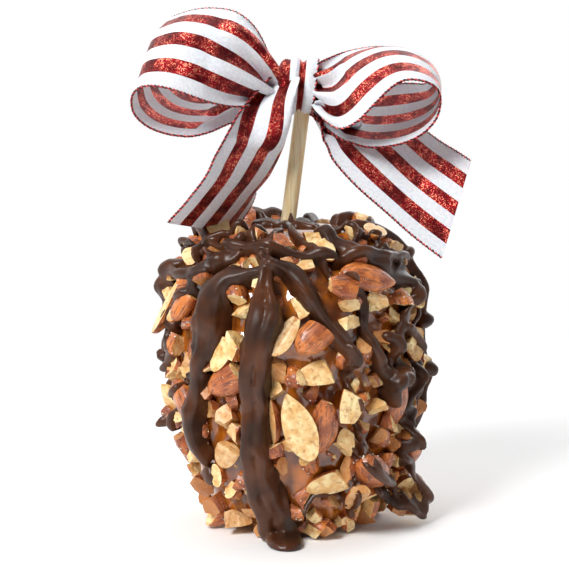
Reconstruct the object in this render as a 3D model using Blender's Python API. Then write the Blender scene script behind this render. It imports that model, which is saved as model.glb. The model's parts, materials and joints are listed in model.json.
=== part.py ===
"""A caramel apple on a wooden stick, with roasted almonds, chocolate strands and a tied ribbon.

The origin is on the floor under the middle of the apple, +Z is up and the front looks along -Y.
Lengths are metres. A place on the apple is given as (azimuth, elevation) in degrees, seen from
the apple's centre: azimuth 0 is the front, +90 the right-hand side, and elevation 90 is straight up.
"""

import math

import bmesh
import bpy
import numpy as np
from mathutils import Matrix, Vector
from mathutils.bvhtree import BVHTree

MM = 0.001
GAP = 0.3 * MM  # air left between neighbouring pieces

# Caramel-coated apple: (radius, height) along its side, from the foot to the hollow at the stick.
APPLE_CENTRE = 58 * MM
APPLE_SIDE = [
    (16, 0), (24, 2.5), (30.5, 9), (35.5, 21), (39.5, 42), (41.5, 66), (40, 86),
    (33.5, 99.5), (24, 106), (14, 108), (8, 106.5),
]
APPLE_HOLLOW = 106 * MM
APPLE_LOBES = 5
LOBE_DEPTH = 0.012
APPLE_AROUND = 28

# Stick
STICK_RADIUS = 2.75 * MM
STICK_LENGTH = 140 * MM
STICK_TOP = Vector((5.3, 0.0, 165.0)) * MM
STICK_LEAN = 7.2  # degrees to the right

# Almonds: width and thickness as a share of the length of a whole kernel
KERNEL_WIDTH = {"whole": 0.5, "split": 0.45}
KERNEL_THICK = 0.34
SPLIT_THICK = 0.19

# Chocolate
STRAND_THICK = 2.6 * MM
STRAND_EDGE = 0.9 * MM

# Ribbon
RIBBON_THICK = 1.1 * MM
KNOT_CENTRE = Vector((0.6, -2.4, 158.5)) * MM
KNOT_HALF = Vector((7.8, 8.2, 8.9)) * MM

# Each almond: name, kind, azimuth, elevation, turn of its tip clockwise from straight up,
# roll about its own length, whole-kernel length in mm, and the share of the length that is left.
ALMONDS = [
    ("almond_shoulder", "whole", 38, 40, 107, 0, 22, (0.0, 1.0)),
    ("almond_upright", "whole", 13, -19, 5, 0, 22, (0.0, 0.9)),
    ("almond_split_front", "split", 2, -15.5, -19, 180, 27, (0.0, 1.0)),
    ("almond_low_right", "whole", 41, -38.5, 135, 25, 25, (0.0, 1.0)),
    ("almond_left", "whole", -55, -15.5, 148, 10, 24, (0.0, 1.0)),
    ("almond_left_rim", "split", -80, 26, 8, 182, 24, (0.0, 1.0)),
    ("almond_oval", "split", -4, 19.5, 32, 175, 17, (0.0, 0.9)),
    ("almond_centre", "whole", 7, 17.5, 50, 0, 22, (0.0, 0.52)),
    ("almond_beside_strand", "split", -9.5, -17, 0, 120, 17, (0.0, 1.0)),
    ("almond_sparkly", "whole", -31, -1, 60, 0, 22, (0.0, 0.65)),
    ("almond_wedge_left", "split", -33, 11, 20, 170, 22, (0.0, 0.55)),
    ("almond_low_left", "split", -36, -35, 40, 165, 22, (0.0, 0.55)),
    ("almond_left_inner", "whole", -61, 27, 20, 10, 17, (0.0, 0.65)),
    ("almond_left_edge", "split", -84, -20, 10, 220, 20, (0.0, 0.8)),
    ("almond_top_front", "split", 3.5, 46, 70, 165, 17, (0.0, 0.5)),
    ("almond_top_right", "split", 18, 51, -15, 170, 18, (0.0, 0.55)),
    ("almond_amber", "whole", 21, 35.5, 100, 0, 18, (0.1, 0.6)),
    ("almond_crown_right", "split", 72, 58, 75, 165, 20, (0.0, 0.8)),
    ("almond_square", "split", 23, -9, 10, 175, 21, (0.1, 0.58)),
    ("almond_right", "whole", 54, -11, 165, 15, 21, (0.0, 0.95)),
    ("almond_low_front", "split", 17, -43, 70, 160, 22, (0.0, 0.6)),
    ("almond_low_split", "split", 32, -47, 0, 165, 18, (0.0, 0.6)),
    ("almond_right_edge", "whole", 78, -39, 150, 20, 22, (0.0, 1.0)),
    ("almond_right_top", "split", 72, 30, 5, 140, 18, (0.0, 0.6)),
    ("almond_right_mid", "split", 66, 12, 15, 150, 21, (0.0, 0.6)),
    ("almond_centre_low", "split", 9, 4, 80, 165, 21, (0.0, 0.55)),
    ("almond_back_1", "whole", 112, 38, 60, 0, 23, (0.0, 1.0)),
    ("almond_back_2", "split", 122, 8, -30, 170, 24, (0.0, 1.0)),
    ("almond_back_3", "whole", 116, -24, 80, 10, 22, (0.0, 0.8)),
    ("almond_back_4", "whole", 152, 24, 120, 0, 22, (0.0, 1.0)),
    ("almond_back_5", "split", 150, -12, 30, 175, 23, (0.0, 1.0)),
    ("almond_back_6", "split", 180, 44, 20, 165, 22, (0.0, 0.7)),
    ("almond_back_7", "whole", 184, 6, -15, 0, 23, (0.0, 1.0)),
    ("almond_back_8", "whole", 182, -34, 70, 20, 22, (0.0, 0.8)),
    ("almond_back_9", "split", -146, 28, 95, 170, 24, (0.0, 1.0)),
    ("almond_back_10", "whole", -148, -14, 15, 0, 23, (0.0, 1.0)),
    ("almond_back_11", "whole", -112, 34, -40, 10, 22, (0.0, 0.9)),
    ("almond_back_12", "split", -116, 2, 60, 175, 23, (0.0, 1.0)),
    ("almond_back_13", "split", -118, -30, 10, 165, 22, (0.0, 0.8)),
]

# Each chocolate strand: name, thickness as a share of STRAND_THICK, and its stops as
# (azimuth, elevation, width in mm).
STRANDS = [
    ("chocolate_left", 1.2, [
        (-20, 42, 6), (-26, 41, 7), (-33, 39, 9), (-38, 32, 12), (-39, 22, 11.5), (-42, 13, 9),
        (-46, 4, 9), (-48, -12, 9.5), (-51, -22, 9), (-54, -31, 7.5), (-52, -41, 5.5),
    ]),
    ("chocolate_front", 1.35, [
        (-12, 66, 5), (-14, 52, 5), (-12, 42, 6), (-12, 36, 7.5), (-12.5, 27, 13), (-15, 18, 12),
        (-16, 7, 11.5), (-17, -8, 10.5), (-17, -21, 11), (-17, -31, 11.5), (-15, -42, 13.5),
        (-12, -50, 14.5), (-9, -57, 14),
    ]),
    ("chocolate_slant", 1.1, [
        (-4, 44, 6), (0, 42, 8), (4, 37.5, 8.5), (8, 33, 8.5), (13, 27, 7), (20, 19, 7.5),
        (24, 12, 6.5), (27, 7, 5.5),
    ]),
    ("chocolate_shoulder", 1.0, [
        (21, 66, 5), (24, 59, 5.5), (30, 53, 6.5), (40, 50, 7.5), (50, 46, 8), (62, 41, 7.5),
        (76, 36, 7), (76, 31, 6), (64, 26, 5), (55, 20, 5), (52, 12, 5), (55, 4, 5),
    ]),
    ("chocolate_middle_right", 0.9, [
        (22, 38, 3.5), (29, 35, 4), (34, 29, 4), (34, 22, 4.5), (38, 14, 5.5), (41, 7, 5.5),
        (47, -2, 4.5), (50, -12, 4),
    ]),
    ("chocolate_left_rim", 0.9, [
        (-31, 61, 4), (-36, 53, 4.5), (-45, 46, 5), (-57, 41, 5), (-70, 38, 5), (-84, 37, 5),
        (-90, 30, 6), (-92, 22, 6), (-90, 13, 5), (-86, 4, 4),
    ]),
    ("chocolate_left_inner", 0.9, [
        (-52, 38, 4.5), (-60, 32, 4), (-67, 29, 4), (-75, 21, 4), (-70, 14, 5.5), (-78, 6, 4.5),
        (-88, -4, 4),
    ]),
    ("chocolate_right_low", 0.9, [
        (66, 2, 5), (64, -10, 5), (68, -22, 5.5), (62, -32, 5), (72, -42, 6),
    ]),
    ("chocolate_back_1", 1.0, [
        (90, 68, 7), (98, 48, 7), (94, 26, 6.5), (98, 4, 6), (94, -14, 6), (98, -34, 7),
    ]),
    ("chocolate_back_2", 1.1, [
        (130, 69, 7), (136, 50, 8), (138, 26, 7.5), (134, 2, 8), (136, -20, 7), (132, -42, 9),
    ]),
    ("chocolate_back_3", 1.0, [
        (168, 69, 7), (166, 48, 7), (168, 24, 7), (164, 0, 6.5), (166, -26, 8),
    ]),
    ("chocolate_back_4", 1.0, [
        (-150, 69, 7), (-158, 48, 8), (-166, 24, 7), (-164, 0, 7), (-164, -30, 8),
    ]),
    ("chocolate_back_5", 1.0, [
        (-120, 60, 7), (-124, 50, 7), (-130, 28, 7), (-130, 2, 6), (-130, -22, 7),
        (-134, -44, 8),
    ]),
]

# Chocolate pooled round the stick, and the tongue of chocolate that ran out on the floor in front
CROWN_RADIUS = 14 * MM
CROWN_ARMS = 7
CROWN_THICK = 4 * MM
TONGUE_BACK = -26 * MM
TONGUE_TIP = -47 * MM
TONGUE_HALF = 7 * MM
TONGUE_THICK = 4.2 * MM

# Ribbon strips: lower edge and upper edge as (x, y, z) in mm, and how far the middle is arched.
# The two loops meet in the knot, behind the stick.
LEFT_LOOP = [
    ((-5.4, -5.0, 152.0), (-5.4, -5.0, 161.9), 0.0),
    ((-9.0, -8.0, 151.3), (-7.4, -6.0, 164.0), 0.5),
    ((-15.2, -14.0, 151.2), (-9.6, -10.0, 171.3), 1.0),
    ((-22.0, -20.0, 151.3), (-13.8, -13.0, 179.0), 1.5),
    ((-28.7, -26.0, 152.7), (-20.0, -14.0, 183.8), 2.5),
    ((-35.3, -30.0, 155.1), (-27.5, -10.6, 185.2), 4.5),
    ((-42.6, -32.0, 157.6), (-33.8, -9.7, 184.9), 5.0),
    ((-48.8, -31.0, 158.5), (-39.4, -5.7, 183.7), 4.0),
    ((-53.2, -27.5, 157.6), (-43.3, -1.0, 182.1), 3.0),
    ((-55.9, -23.0, 154.2), (-44.1, 4.9, 177.0), 1.0),
    ((-55.6, -18.0, 148.8), (-43.0, 14.4, 164.3), 0.0),
    ((-51.5, -14.0, 144.4), (-38.2, 18.8, 158.5), 0.0),
    ((-45.0, -11.0, 141.7), (-33.5, 22.1, 156.6), 0.0),
    ((-37.4, -9.0, 140.6), (-28.8, 24.4, 156.6), 0.0),
    ((-30.0, -7.0, 141.9), (-23.0, 19.0, 157.7), 0.0),
    ((-23.0, -3.5, 144.9), (-17.0, 16.0, 159.2), 0.0),
    ((-14.8, 1.0, 148.0), (-9.1, 9.0, 161.7), 0.0),
    ((-2.9, 4.0, 149.6), (-2.9, 4.0, 162.7), 0.0),
]
RIGHT_LOOP = [
    ((2.5, 4.4, 149.4), (2.5, 4.4, 162.0), 0.0),
    ((7.2, 3.0, 147.6), (8.3, 4.5, 160.6), 0.0),
    ((12.5, -4.0, 142.7), (15.0, 11.0, 159.2), 0.5),
    ((18.7, -11.0, 138.9), (22.1, 21.3, 158.5), 1.5),
    ((27.0, -15.0, 137.1), (30.0, 15.8, 158.4), 2.5),
    ((36.6, -18.0, 137.9), (39.4, 12.9, 159.2), 2.5),
    ((44.1, -20.0, 141.1), (44.9, 13.2, 159.2), 2.0),
    ((49.1, -22.0, 146.6), (48.2, 13.6, 159.2), 2.0),
    ((50.5, -24.0, 152.5), (50.3, 12.8, 161.0), 2.0),
    ((49.3, -26.0, 157.0), (50.1, 10.9, 165.0), 2.0),
    ((44.9, -28.0, 159.7), (46.2, 8.3, 168.9), 3.0),
    ((38.3, -29.0, 160.3), (39.5, 6.2, 171.7), 4.0),
    ((32.9, -29.0, 157.6), (31.4, 4.2, 172.4), 5.0),
    ((27.2, -28.0, 151.9), (24.4, 2.0, 171.6), 5.5),
    ((21.9, -25.0, 146.2), (18.2, 0.0, 170.1), 4.5),
    ((16.2, -20.0, 143.7), (13.5, -4.0, 168.3), 3.0),
    ((10.8, -14.0, 146.8), (9.5, -7.0, 166.5), 1.5),
    ((6.7, -8.0, 151.7), (7.0, -6.0, 164.7), 0.5),
    ((3.1, -5.0, 152.4), (3.1, -5.0, 162.3), 0.0),
]
LEFT_TAIL = [
    ((-5.1, -6.5, 164.0), (-1.9, -6.0, 156.3), 0.0),
    ((-9.3, -11.0, 160.1), (-2.2, -8.0, 151.3), 2.0),
    ((-14.4, -17.0, 154.5), (-2.9, -8.0, 147.8), 4.0),
    ((-18.5, -23.0, 149.4), (-4.3, -6.0, 144.2), 6.0),
    ((-21.5, -27.0, 144.0), (-6.2, -3.0, 139.5), 7.0),
    ((-25.5, -30.0, 136.6), (-9.4, 1.0, 132.5), 7.0),
    ((-30.4, -30.0, 128.0), (-12.1, 6.0, 124.3), 5.5),
    ((-36.5, -27.0, 118.9), (-15.0, 3.5, 116.0), 3.0),
    ((-43.8, -22.0, 110.8), (-20.2, 7.2, 107.7), 2.5),
]
RIGHT_TAIL = [
    ((3.0, -3.5, 152.5), (5.0, -3.5, 158.0), 0.0),
    ((7.1, -3.0, 149.1), (9.6, -3.0, 154.1), 0.0),
    ((9.9, -6.0, 144.6), (18.7, -1.0, 149.8), 0.0),
    ((10.9, -9.0, 138.6), (31.1, 21.0, 150.3), 1.0),
    ((14.4, -12.0, 132.0), (39.4, 11.8, 147.8), 1.0),
    ((22.8, -15.0, 123.0), (46.3, 6.6, 143.6), 1.0),
    ((32.9, -18.0, 114.0), (53.3, 2.7, 138.6), 0.0),
    ((42.0, -20.0, 106.1), (58.6, -2.0, 135.2), 0.0),
    ((52.2, -21.0, 98.4), (63.5, -6.7, 131.8), 0.0),
]


def material(name, colour, roughness, metallic=0.0):
    made = bpy.data.materials.new(name)
    made.use_nodes = True
    shader = made.node_tree.nodes["Principled BSDF"]
    shader.inputs["Base Color"].default_value = (*colour, 1.0)
    shader.inputs["Roughness"].default_value = roughness
    shader.inputs["Metallic"].default_value = metallic
    return made


def add_piece(name, points, faces, finish, smooth=True):
    mesh = bpy.data.meshes.new(name)
    mesh.from_pydata([tuple(p) for p in points], [], faces)
    mesh.update()
    outward = bmesh.new()
    outward.from_mesh(mesh)
    bmesh.ops.recalc_face_normals(outward, faces=outward.faces)
    if outward.calc_volume(signed=True) < 0:
        bmesh.ops.reverse_faces(outward, faces=outward.faces)
    outward.to_mesh(mesh)
    outward.free()
    mesh.materials.append(finish)
    if smooth:
        mesh.polygons.foreach_set("use_smooth", [True] * len(mesh.polygons))
    made = bpy.data.objects.new(name, mesh)
    bpy.context.scene.collection.objects.link(made)
    return made


def through(stops, steps):
    """A smooth line through the stops, as rows, with a number of steps between two stops."""
    rows = np.array(stops, float)
    rows = np.vstack([2 * rows[0] - rows[1], rows, 2 * rows[-1] - rows[-2]])
    line = []
    for i in range(1, len(rows) - 2):
        a, b, c, d = rows[i - 1:i + 3]
        for t in np.linspace(0, 1, steps, endpoint=False):
            line.append(0.5 * (2 * b + (c - a) * t + (2 * a - 5 * b + 4 * c - d) * t * t
                               + (3 * b - a - 3 * c + d) * t ** 3))
    line.append(rows[-2])
    return np.array(line)


def direction(azimuth, elevation):
    a = math.radians(azimuth)
    e = math.radians(elevation)
    return Vector((math.cos(e) * math.sin(a), -math.cos(e) * math.cos(a), math.sin(e)))


def quads(rows, columns, closed=False):
    """Faces of a grid of points stored row by row; closed joins the last column to the first."""
    faces = []
    for i in range(rows - 1):
        for j in range(columns if closed else columns - 1):
            k = (j + 1) % columns
            faces.append((i * columns + j, i * columns + k, (i + 1) * columns + k,
                          (i + 1) * columns + j))
    return faces


def apple_points():
    """Rings of the coated apple from the foot to the hollow, then the two middle points."""
    side = through(APPLE_SIDE, 2) * MM
    points = []
    for radius, height in side:
        shoulder = np.clip((height - 30 * MM) / (60 * MM), 0, 1)
        for j in range(APPLE_AROUND):
            a = 2 * math.pi * j / APPLE_AROUND
            grown = radius * (1 + LOBE_DEPTH * shoulder * math.cos(APPLE_LOBES * a + 0.6))
            points.append((grown * math.sin(a), -grown * math.cos(a), height))
    rows = len(side)
    faces = quads(rows, APPLE_AROUND, closed=True)
    points += [(0, 0, 0), (0, 0, APPLE_HOLLOW)]
    foot = rows * APPLE_AROUND
    last = (rows - 1) * APPLE_AROUND
    for j in range(APPLE_AROUND):
        k = (j + 1) % APPLE_AROUND
        faces.append((foot, k, j))
        faces.append((foot + 1, last + j, last + k))
    return points, faces


def tree_of(points, faces):
    return BVHTree.FromPolygons([Vector(p) for p in points], faces)


class Pile:
    """What lies on the apple so far, asked from outside along a line to the apple's centre."""

    def __init__(self):
        self.trees = []
        self.centre = Vector((0, 0, APPLE_CENTRE))

    def add(self, points, faces):
        self.trees.append(tree_of(points, faces))

    def height(self, way):
        """Distance from the centre to the outermost surface in this direction."""
        start = self.centre + way * 0.2
        best = 0.0
        for tree in self.trees:
            place = tree.ray_cast(start, -way, 0.2)[0]
            if place is not None:
                best = max(best, (place - self.centre).length)
        return best


def kernel(kind, length, keep):
    """An almond along +Y with its tip at +Y, its width along X and its skin towards +Z.

    A split kernel has a flat face towards -Z. Points and faces, closed.
    """
    half_width = KERNEL_WIDTH[kind] * length / 2
    half_thick = KERNEL_THICK * length / 2
    if kind == "split":
        half_thick = SPLIT_THICK * length
    low, high = keep
    cut_low = low > 0.02
    cut_high = high < 0.98
    steps = 5
    shares = np.linspace(low if cut_low else 0.04, high if cut_high else 0.97, steps)
    if kind == "split":
        angles = np.radians([0, 36, 72, 108, 144, 180])
    else:
        angles = np.radians(np.arange(0, 360, 45))
    around = len(angles)
    middle = (low + high) / 2
    points = []
    for t in shares:
        bulge = math.sin(math.pi * t ** 0.86) ** 0.62
        for a in angles:
            x = half_width * bulge * math.cos(a)
            z = half_thick * bulge ** 0.8 * math.sin(a)
            points.append((x, (t - middle) * length, z))
    faces = quads(steps, around, closed=True)
    ends = ((0, cut_low, low), (steps - 1, cut_high, high))
    for row, cut, share in ends:
        ring = [row * around + j for j in range(around)]
        if cut:
            faces.append(tuple(ring))
        else:
            rise = half_thick * 0.25 if kind == "split" else 0.0
            points.append((0, ((0.0 if row == 0 else 1.0) - middle) * length, rise))
            for j in range(around):
                faces.append((ring[j], ring[(j + 1) % around], len(points) - 1))
    return points, faces


def settle_almonds(pile, skin, cream):
    """Places each almond on the apple as close as the gap to its neighbours allows."""
    for name, kind, azimuth, elevation, turn, roll, length, keep in ALMONDS:
        points, faces = kernel(kind, length * MM, keep)
        way = direction(azimuth, elevation)
        ahead = direction(azimuth, elevation + 1) - way
        up = ahead.normalized()
        side = up.cross(way).normalized()
        t = math.radians(turn)
        along = up * math.cos(t) + side * math.sin(t)
        across = along.cross(way).normalized()
        frame = Matrix((across, along, way)).transposed()
        frame = frame @ Matrix.Rotation(math.radians(roll), 3, "Y")
        turned = [frame @ Vector(p) for p in points]
        middle = sum(turned, Vector()) / len(turned)
        swollen = [p + (p - middle).normalized() * GAP * 1.5 for p in turned]
        foot = pile.centre + way * (pile_floor(pile, way) - 1 * MM)
        for step in range(120):
            spot = foot + way * (step * 0.25 * MM)
            tree = tree_of([p + spot for p in swollen], faces)
            if not any(tree.overlap(other) for other in pile.trees):
                break
        print(f"{name} stands {(step * 0.25):.1f} mm up")
        settled = [p + spot for p in turned]
        pile.add(settled, faces)
        add_piece(name, settled, faces, cream if kind == "split" else skin)


def pile_floor(pile, way):
    """Distance from the centre to the apple's own surface in this direction."""
    place = pile.trees[0].ray_cast(pile.centre + way * 0.2, -way, 0.2)[0]
    return (place - pile.centre).length


def lay_strand(pile, name, share, stops, finish):
    """A strand of chocolate laid over whatever is on the apple, rounded across its width."""
    line = through([(a, e, w / 2) for a, e, w in stops], 3)
    steps = len(line)
    columns = 4
    fine = 3
    ways = [direction(a, e) for a, e, _ in line]
    halves = [w * MM for _, _, w in line]
    halves[0] *= 0.6
    halves[-1] *= 0.6
    # The line and its width are sampled more finely than the solid, and each point of the
    # solid stands on the highest sample near it.
    rows = (steps - 1) * fine + 1
    wide = (columns - 1) * fine + 1
    support = np.zeros((rows, wide))
    grid = {}
    for i in range(rows):
        low = min(i // fine, steps - 2)
        part = i / fine - low
        way = (ways[low] * (1 - part) + ways[low + 1] * part).normalized()
        half = halves[low] * (1 - part) + halves[low + 1] * part
        onward = ways[low + 1] - ways[low]
        side = onward.cross(way).normalized()
        reach = half / (52 * MM)
        for j in range(wide):
            u = 2 * j / (wide - 1) - 1
            spread = (way + side * (u * reach)).normalized()
            grid[i, j] = spread
            support[i, j] = pile.height(spread)
    under = np.zeros((steps, columns))
    for i in range(steps):
        for j in range(columns):
            a, b = max(0, (i - 1) * fine), min(rows, (i + 1) * fine + 1)
            c, d = max(0, (j - 1) * fine), min(wide, (j + 1) * fine + 1)
            under[i, j] = support[a:b, c:d].max() + GAP * 2
    thick = STRAND_THICK * share
    inner = []
    outer = []
    for i in range(steps):
        end = min(1.0, 0.55 + 0.45 * min(i, steps - 1 - i))
        for j in range(columns):
            u = 2 * j / (columns - 1) - 1
            crown = max(STRAND_EDGE, thick * end * math.sqrt(max(0.0, 1 - u * u)))
            spread = grid[i * fine, j * fine]
            inner.append(pile.centre + spread * under[i, j])
            outer.append(pile.centre + spread * (under[i, j] + crown))
    points, faces = slab(inner, outer, steps, columns)
    pile.add(points, faces)
    add_piece(name, points, faces, finish)


def slab(inner, outer, rows, columns):
    """A closed body between two grids of points."""
    points = inner + outer
    faces = quads(rows, columns)
    shift = rows * columns
    faces += [tuple(k + shift for k in reversed(f)) for f in quads(rows, columns)]
    rim = [j for j in range(columns)]
    rim += [i * columns + columns - 1 for i in range(1, rows)]
    rim += [(rows - 1) * columns + j for j in range(columns - 2, -1, -1)]
    rim += [i * columns for i in range(rows - 2, 0, -1)]
    for here, after in zip(rim, rim[1:] + rim[:1]):
        faces.append((here, here + shift, after + shift, after))
    return points, faces


def lay_crown(pile, finish):
    """Chocolate pooled round the stick, with short arms where it ran down."""
    foot = stick_at(107 * MM)
    around = 28
    rings = 3
    under = []
    over = []
    for i in range(rings):
        for j in range(around):
            a = 2 * math.pi * j / around
            arm = 1 + 0.22 * math.cos(CROWN_ARMS * a)
            reach = STICK_RADIUS + GAP + (CROWN_RADIUS * arm - STICK_RADIUS) * i / (rings - 1)
            x = foot.x + reach * math.sin(a)
            y = foot.y - reach * math.cos(a)
            way = (Vector((x, y, 112 * MM)) - pile.centre).normalized()
            highest = 0.0
            for da in (-0.12, 0, 0.12):
                for dr in (-1.5 * MM, 0, 1.5 * MM):
                    px = foot.x + (reach + dr) * math.sin(a + da)
                    py = foot.y - (reach + dr) * math.cos(a + da)
                    near = (Vector((px, py, 112 * MM)) - pile.centre).normalized()
                    highest = max(highest, pile.height(near))
            low = pile.centre + way * (highest + 2 * GAP)
            rise = CROWN_THICK * (1.25 - i / (rings - 1)) + STRAND_EDGE * 0.5
            high = low + way * rise
            if i == 0:
                # The inner edge follows the leaning stick at an even distance.
                low = around_stick(low.z, a)
                high = around_stick(high.z + 3 * MM, a)
            under.append(low)
            over.append(high)
    shift = len(under)
    faces = quads(rings, around, closed=True)
    faces += [tuple(k + shift for k in f) for f in quads(rings, around, closed=True)]
    last = (rings - 1) * around
    for j in range(around):
        k = (j + 1) % around
        faces.append((j, k, k + shift, j + shift))
        faces.append((last + j, last + k, last + k + shift, last + j + shift))
    points = under + over
    pile.add(points, faces)
    add_piece("chocolate_crown", points, faces, finish)


def stick_way():
    lean = math.radians(STICK_LEAN)
    return Vector((math.sin(lean), 0, math.cos(lean)))


def stick_at(height):
    """The middle of the stick at a height."""
    way = stick_way()
    return STICK_TOP + way * ((height - STICK_TOP.z) / way.z)


def around_stick(height, angle):
    """A point beside the stick, clear of it by the gap."""
    middle = stick_at(height)
    reach = (STICK_RADIUS + GAP) * 1.02
    return middle + Vector((reach * math.sin(angle), -reach * math.cos(angle), 0))


def tongue(finish):
    """The flat tongue of chocolate on the floor, in front of the apple's foot."""
    rows = 7
    columns = 5
    shift = Vector((-4 * MM, 0, 0))
    inner = []
    outer = []
    for i in range(rows):
        t = i / (rows - 1)
        y = TONGUE_BACK + (TONGUE_TIP - TONGUE_BACK) * t
        half = TONGUE_HALF * (1 - 0.25 * t) * math.sqrt(max(0.06, 1 - t ** 6))
        for j in range(columns):
            u = 2 * j / (columns - 1) - 1
            thick = TONGUE_THICK * (1 - 0.35 * t) * math.sqrt(max(0.08, 1 - u ** 4 * 0.9))
            if i == rows - 1:
                thick *= 0.55
            place = Vector((half * u + 3 * MM * t, y, 0)) + shift
            inner.append(place)
            outer.append(place + Vector((0, 0, thick)))
    points, faces = slab(inner, outer, rows, columns)
    add_piece("chocolate_tongue", points, faces, finish)


def rod(radius, start, way, length, around=20):
    """Points and faces of a round rod from start along way."""
    turn = way.to_track_quat("Z", "Y")
    points = []
    for at in (0.0, length):
        for j in range(around):
            a = 2 * math.pi * j / around
            points.append(start + turn @ Vector((radius * math.cos(a), radius * math.sin(a), at)))
    faces = quads(2, around, closed=True)
    faces.append(tuple(range(around)))
    faces.append(tuple(range(around, 2 * around)))
    return points, faces


def halved(faces):
    """Four-sided faces cut in two, each across the corner that comes first in the piece."""
    halves = []
    for face in faces:
        first = face.index(min(face))
        turned = face[first:] + face[:first]
        halves.append((turned[0], turned[1], turned[2]))
        halves.append((turned[0], turned[2], turned[3]))
    return halves


def ribbon_strip(name, stops, side, finish):
    """A strip of ribbon between its two edges, arched to one side in the middle."""
    lower = [Vector(low) * MM for low, _, _ in stops]
    upper = [Vector(high) * MM for _, high, _ in stops]
    centres = [(low + high) / 2 for low, high in zip(lower, upper)]
    columns = 3
    last = len(stops) - 1
    inner = []
    outer = []
    for i in range(last + 1):
        ahead = centres[min(i + 1, last)] - centres[max(i - 1, 0)]
        face = ahead.cross(upper[i] - lower[i]).normalized() * side
        for j in range(columns):
            t = j / (columns - 1)
            arch = stops[i][2] * MM * (1 - (2 * t - 1) ** 2)
            place = lower[i].lerp(upper[i], t) + face * arch
            inner.append(place - face * RIBBON_THICK / 2)
            outer.append(place + face * RIBBON_THICK / 2)
    points, faces = slab(inner, outer, last + 1, columns)
    return add_piece(name, points, halved(faces), finish)


def knot(finish):
    """The wrap of ribbon round the stick, pinched into upright folds."""
    around = 20
    rings = 5
    points = []
    for i in range(rings):
        t = i / (rings - 1)
        belly = 0.80 + 0.22 * math.sin(math.pi * t) ** 0.8
        z = KNOT_CENTRE.z + KNOT_HALF.z * (2 * t - 1)
        for j in range(around):
            a = 2 * math.pi * j / around
            fold = 1 + 0.035 * math.cos(6 * a + 0.4)
            points.append((KNOT_CENTRE.x + KNOT_HALF.x * belly * fold * math.sin(a),
                           KNOT_CENTRE.y - KNOT_HALF.y * belly * fold * math.cos(a), z))
    faces = quads(rings, around, closed=True)
    faces.append(tuple(range(around)))
    faces.append(tuple(range((rings - 1) * around, rings * around)))
    return add_piece("ribbon_bow", points, faces, finish)


def combine(target, other, operation):
    """Adds another piece to the target or cuts it away, and removes the other."""
    change = target.modifiers.new("combine", "BOOLEAN")
    change.operation = operation
    change.solver = "EXACT"
    change.object = other
    bpy.context.view_layer.update()
    shape = bpy.data.meshes.new_from_object(target.evaluated_get(
        bpy.context.evaluated_depsgraph_get()))
    target.modifiers.clear()
    target.data = shape
    bpy.data.objects.remove(other, do_unlink=True)


def stick_room(finish):
    """The room that the stick takes, a gap wider than the stick all round."""
    way = stick_way()
    start = STICK_TOP - way * (STICK_LENGTH + GAP)
    points, faces = rod(STICK_RADIUS + GAP, start, way, STICK_LENGTH + 20 * MM, 24)
    return add_piece("stick_room", points, faces, finish, smooth=False)


def main():
    for thing in list(bpy.data.objects):
        bpy.data.objects.remove(thing, do_unlink=True)

    caramel = material("caramel", (0.46, 0.17, 0.03), 0.18)
    wood = material("wood", (0.72, 0.52, 0.28), 0.55)
    skin = material("almond_skin", (0.30, 0.11, 0.045), 0.6)
    cream = material("almond_cream", (0.83, 0.62, 0.33), 0.55)
    chocolate = material("chocolate", (0.075, 0.033, 0.02), 0.3)
    cloth = material("ribbon", (0.62, 0.25, 0.25), 0.6)

    pile = Pile()
    points, faces = apple_points()
    pile.add(points, faces)
    apple = add_piece("caramel_apple_body", points, faces, caramel)
    combine(apple, stick_room(caramel), "DIFFERENCE")

    way = stick_way()
    points, faces = rod(STICK_RADIUS, STICK_TOP - way * STICK_LENGTH, way, STICK_LENGTH)
    add_piece("stick", points, faces, wood, smooth=False)

    settle_almonds(pile, skin, cream)
    lay_crown(pile, chocolate)
    for name, share, stops in STRANDS:
        lay_strand(pile, name, share, stops, chocolate)
    tongue(chocolate)

    bow = knot(cloth)
    for stops, side in ((LEFT_LOOP, -1), (RIGHT_LOOP, -1), (LEFT_TAIL, 1), (RIGHT_TAIL, 1)):
        combine(bow, ribbon_strip("strip", stops, side, cloth), "UNION")
    combine(bow, stick_room(cloth), "DIFFERENCE")

    for thing in bpy.data.objects:
        thing.data.calc_loop_triangles()
        print(thing.name, len(thing.data.loop_triangles))


main()
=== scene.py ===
# %% [markdown]
# # A caramel apple with almonds, chocolate and a striped bow
# The real thing is made in layers: an apple on a stick is dipped in caramel, rolled in chopped
# roasted almonds, pressed with a few large kernels, drizzled with dark chocolate, and tied with
# a ribbon. This lesson makes the layers in the same order.

# %% Load the frame
import json
import math

import bmesh
import bpy
import numpy as np
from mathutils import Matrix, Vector
from mathutils.bvhtree import BVHTree


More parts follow.
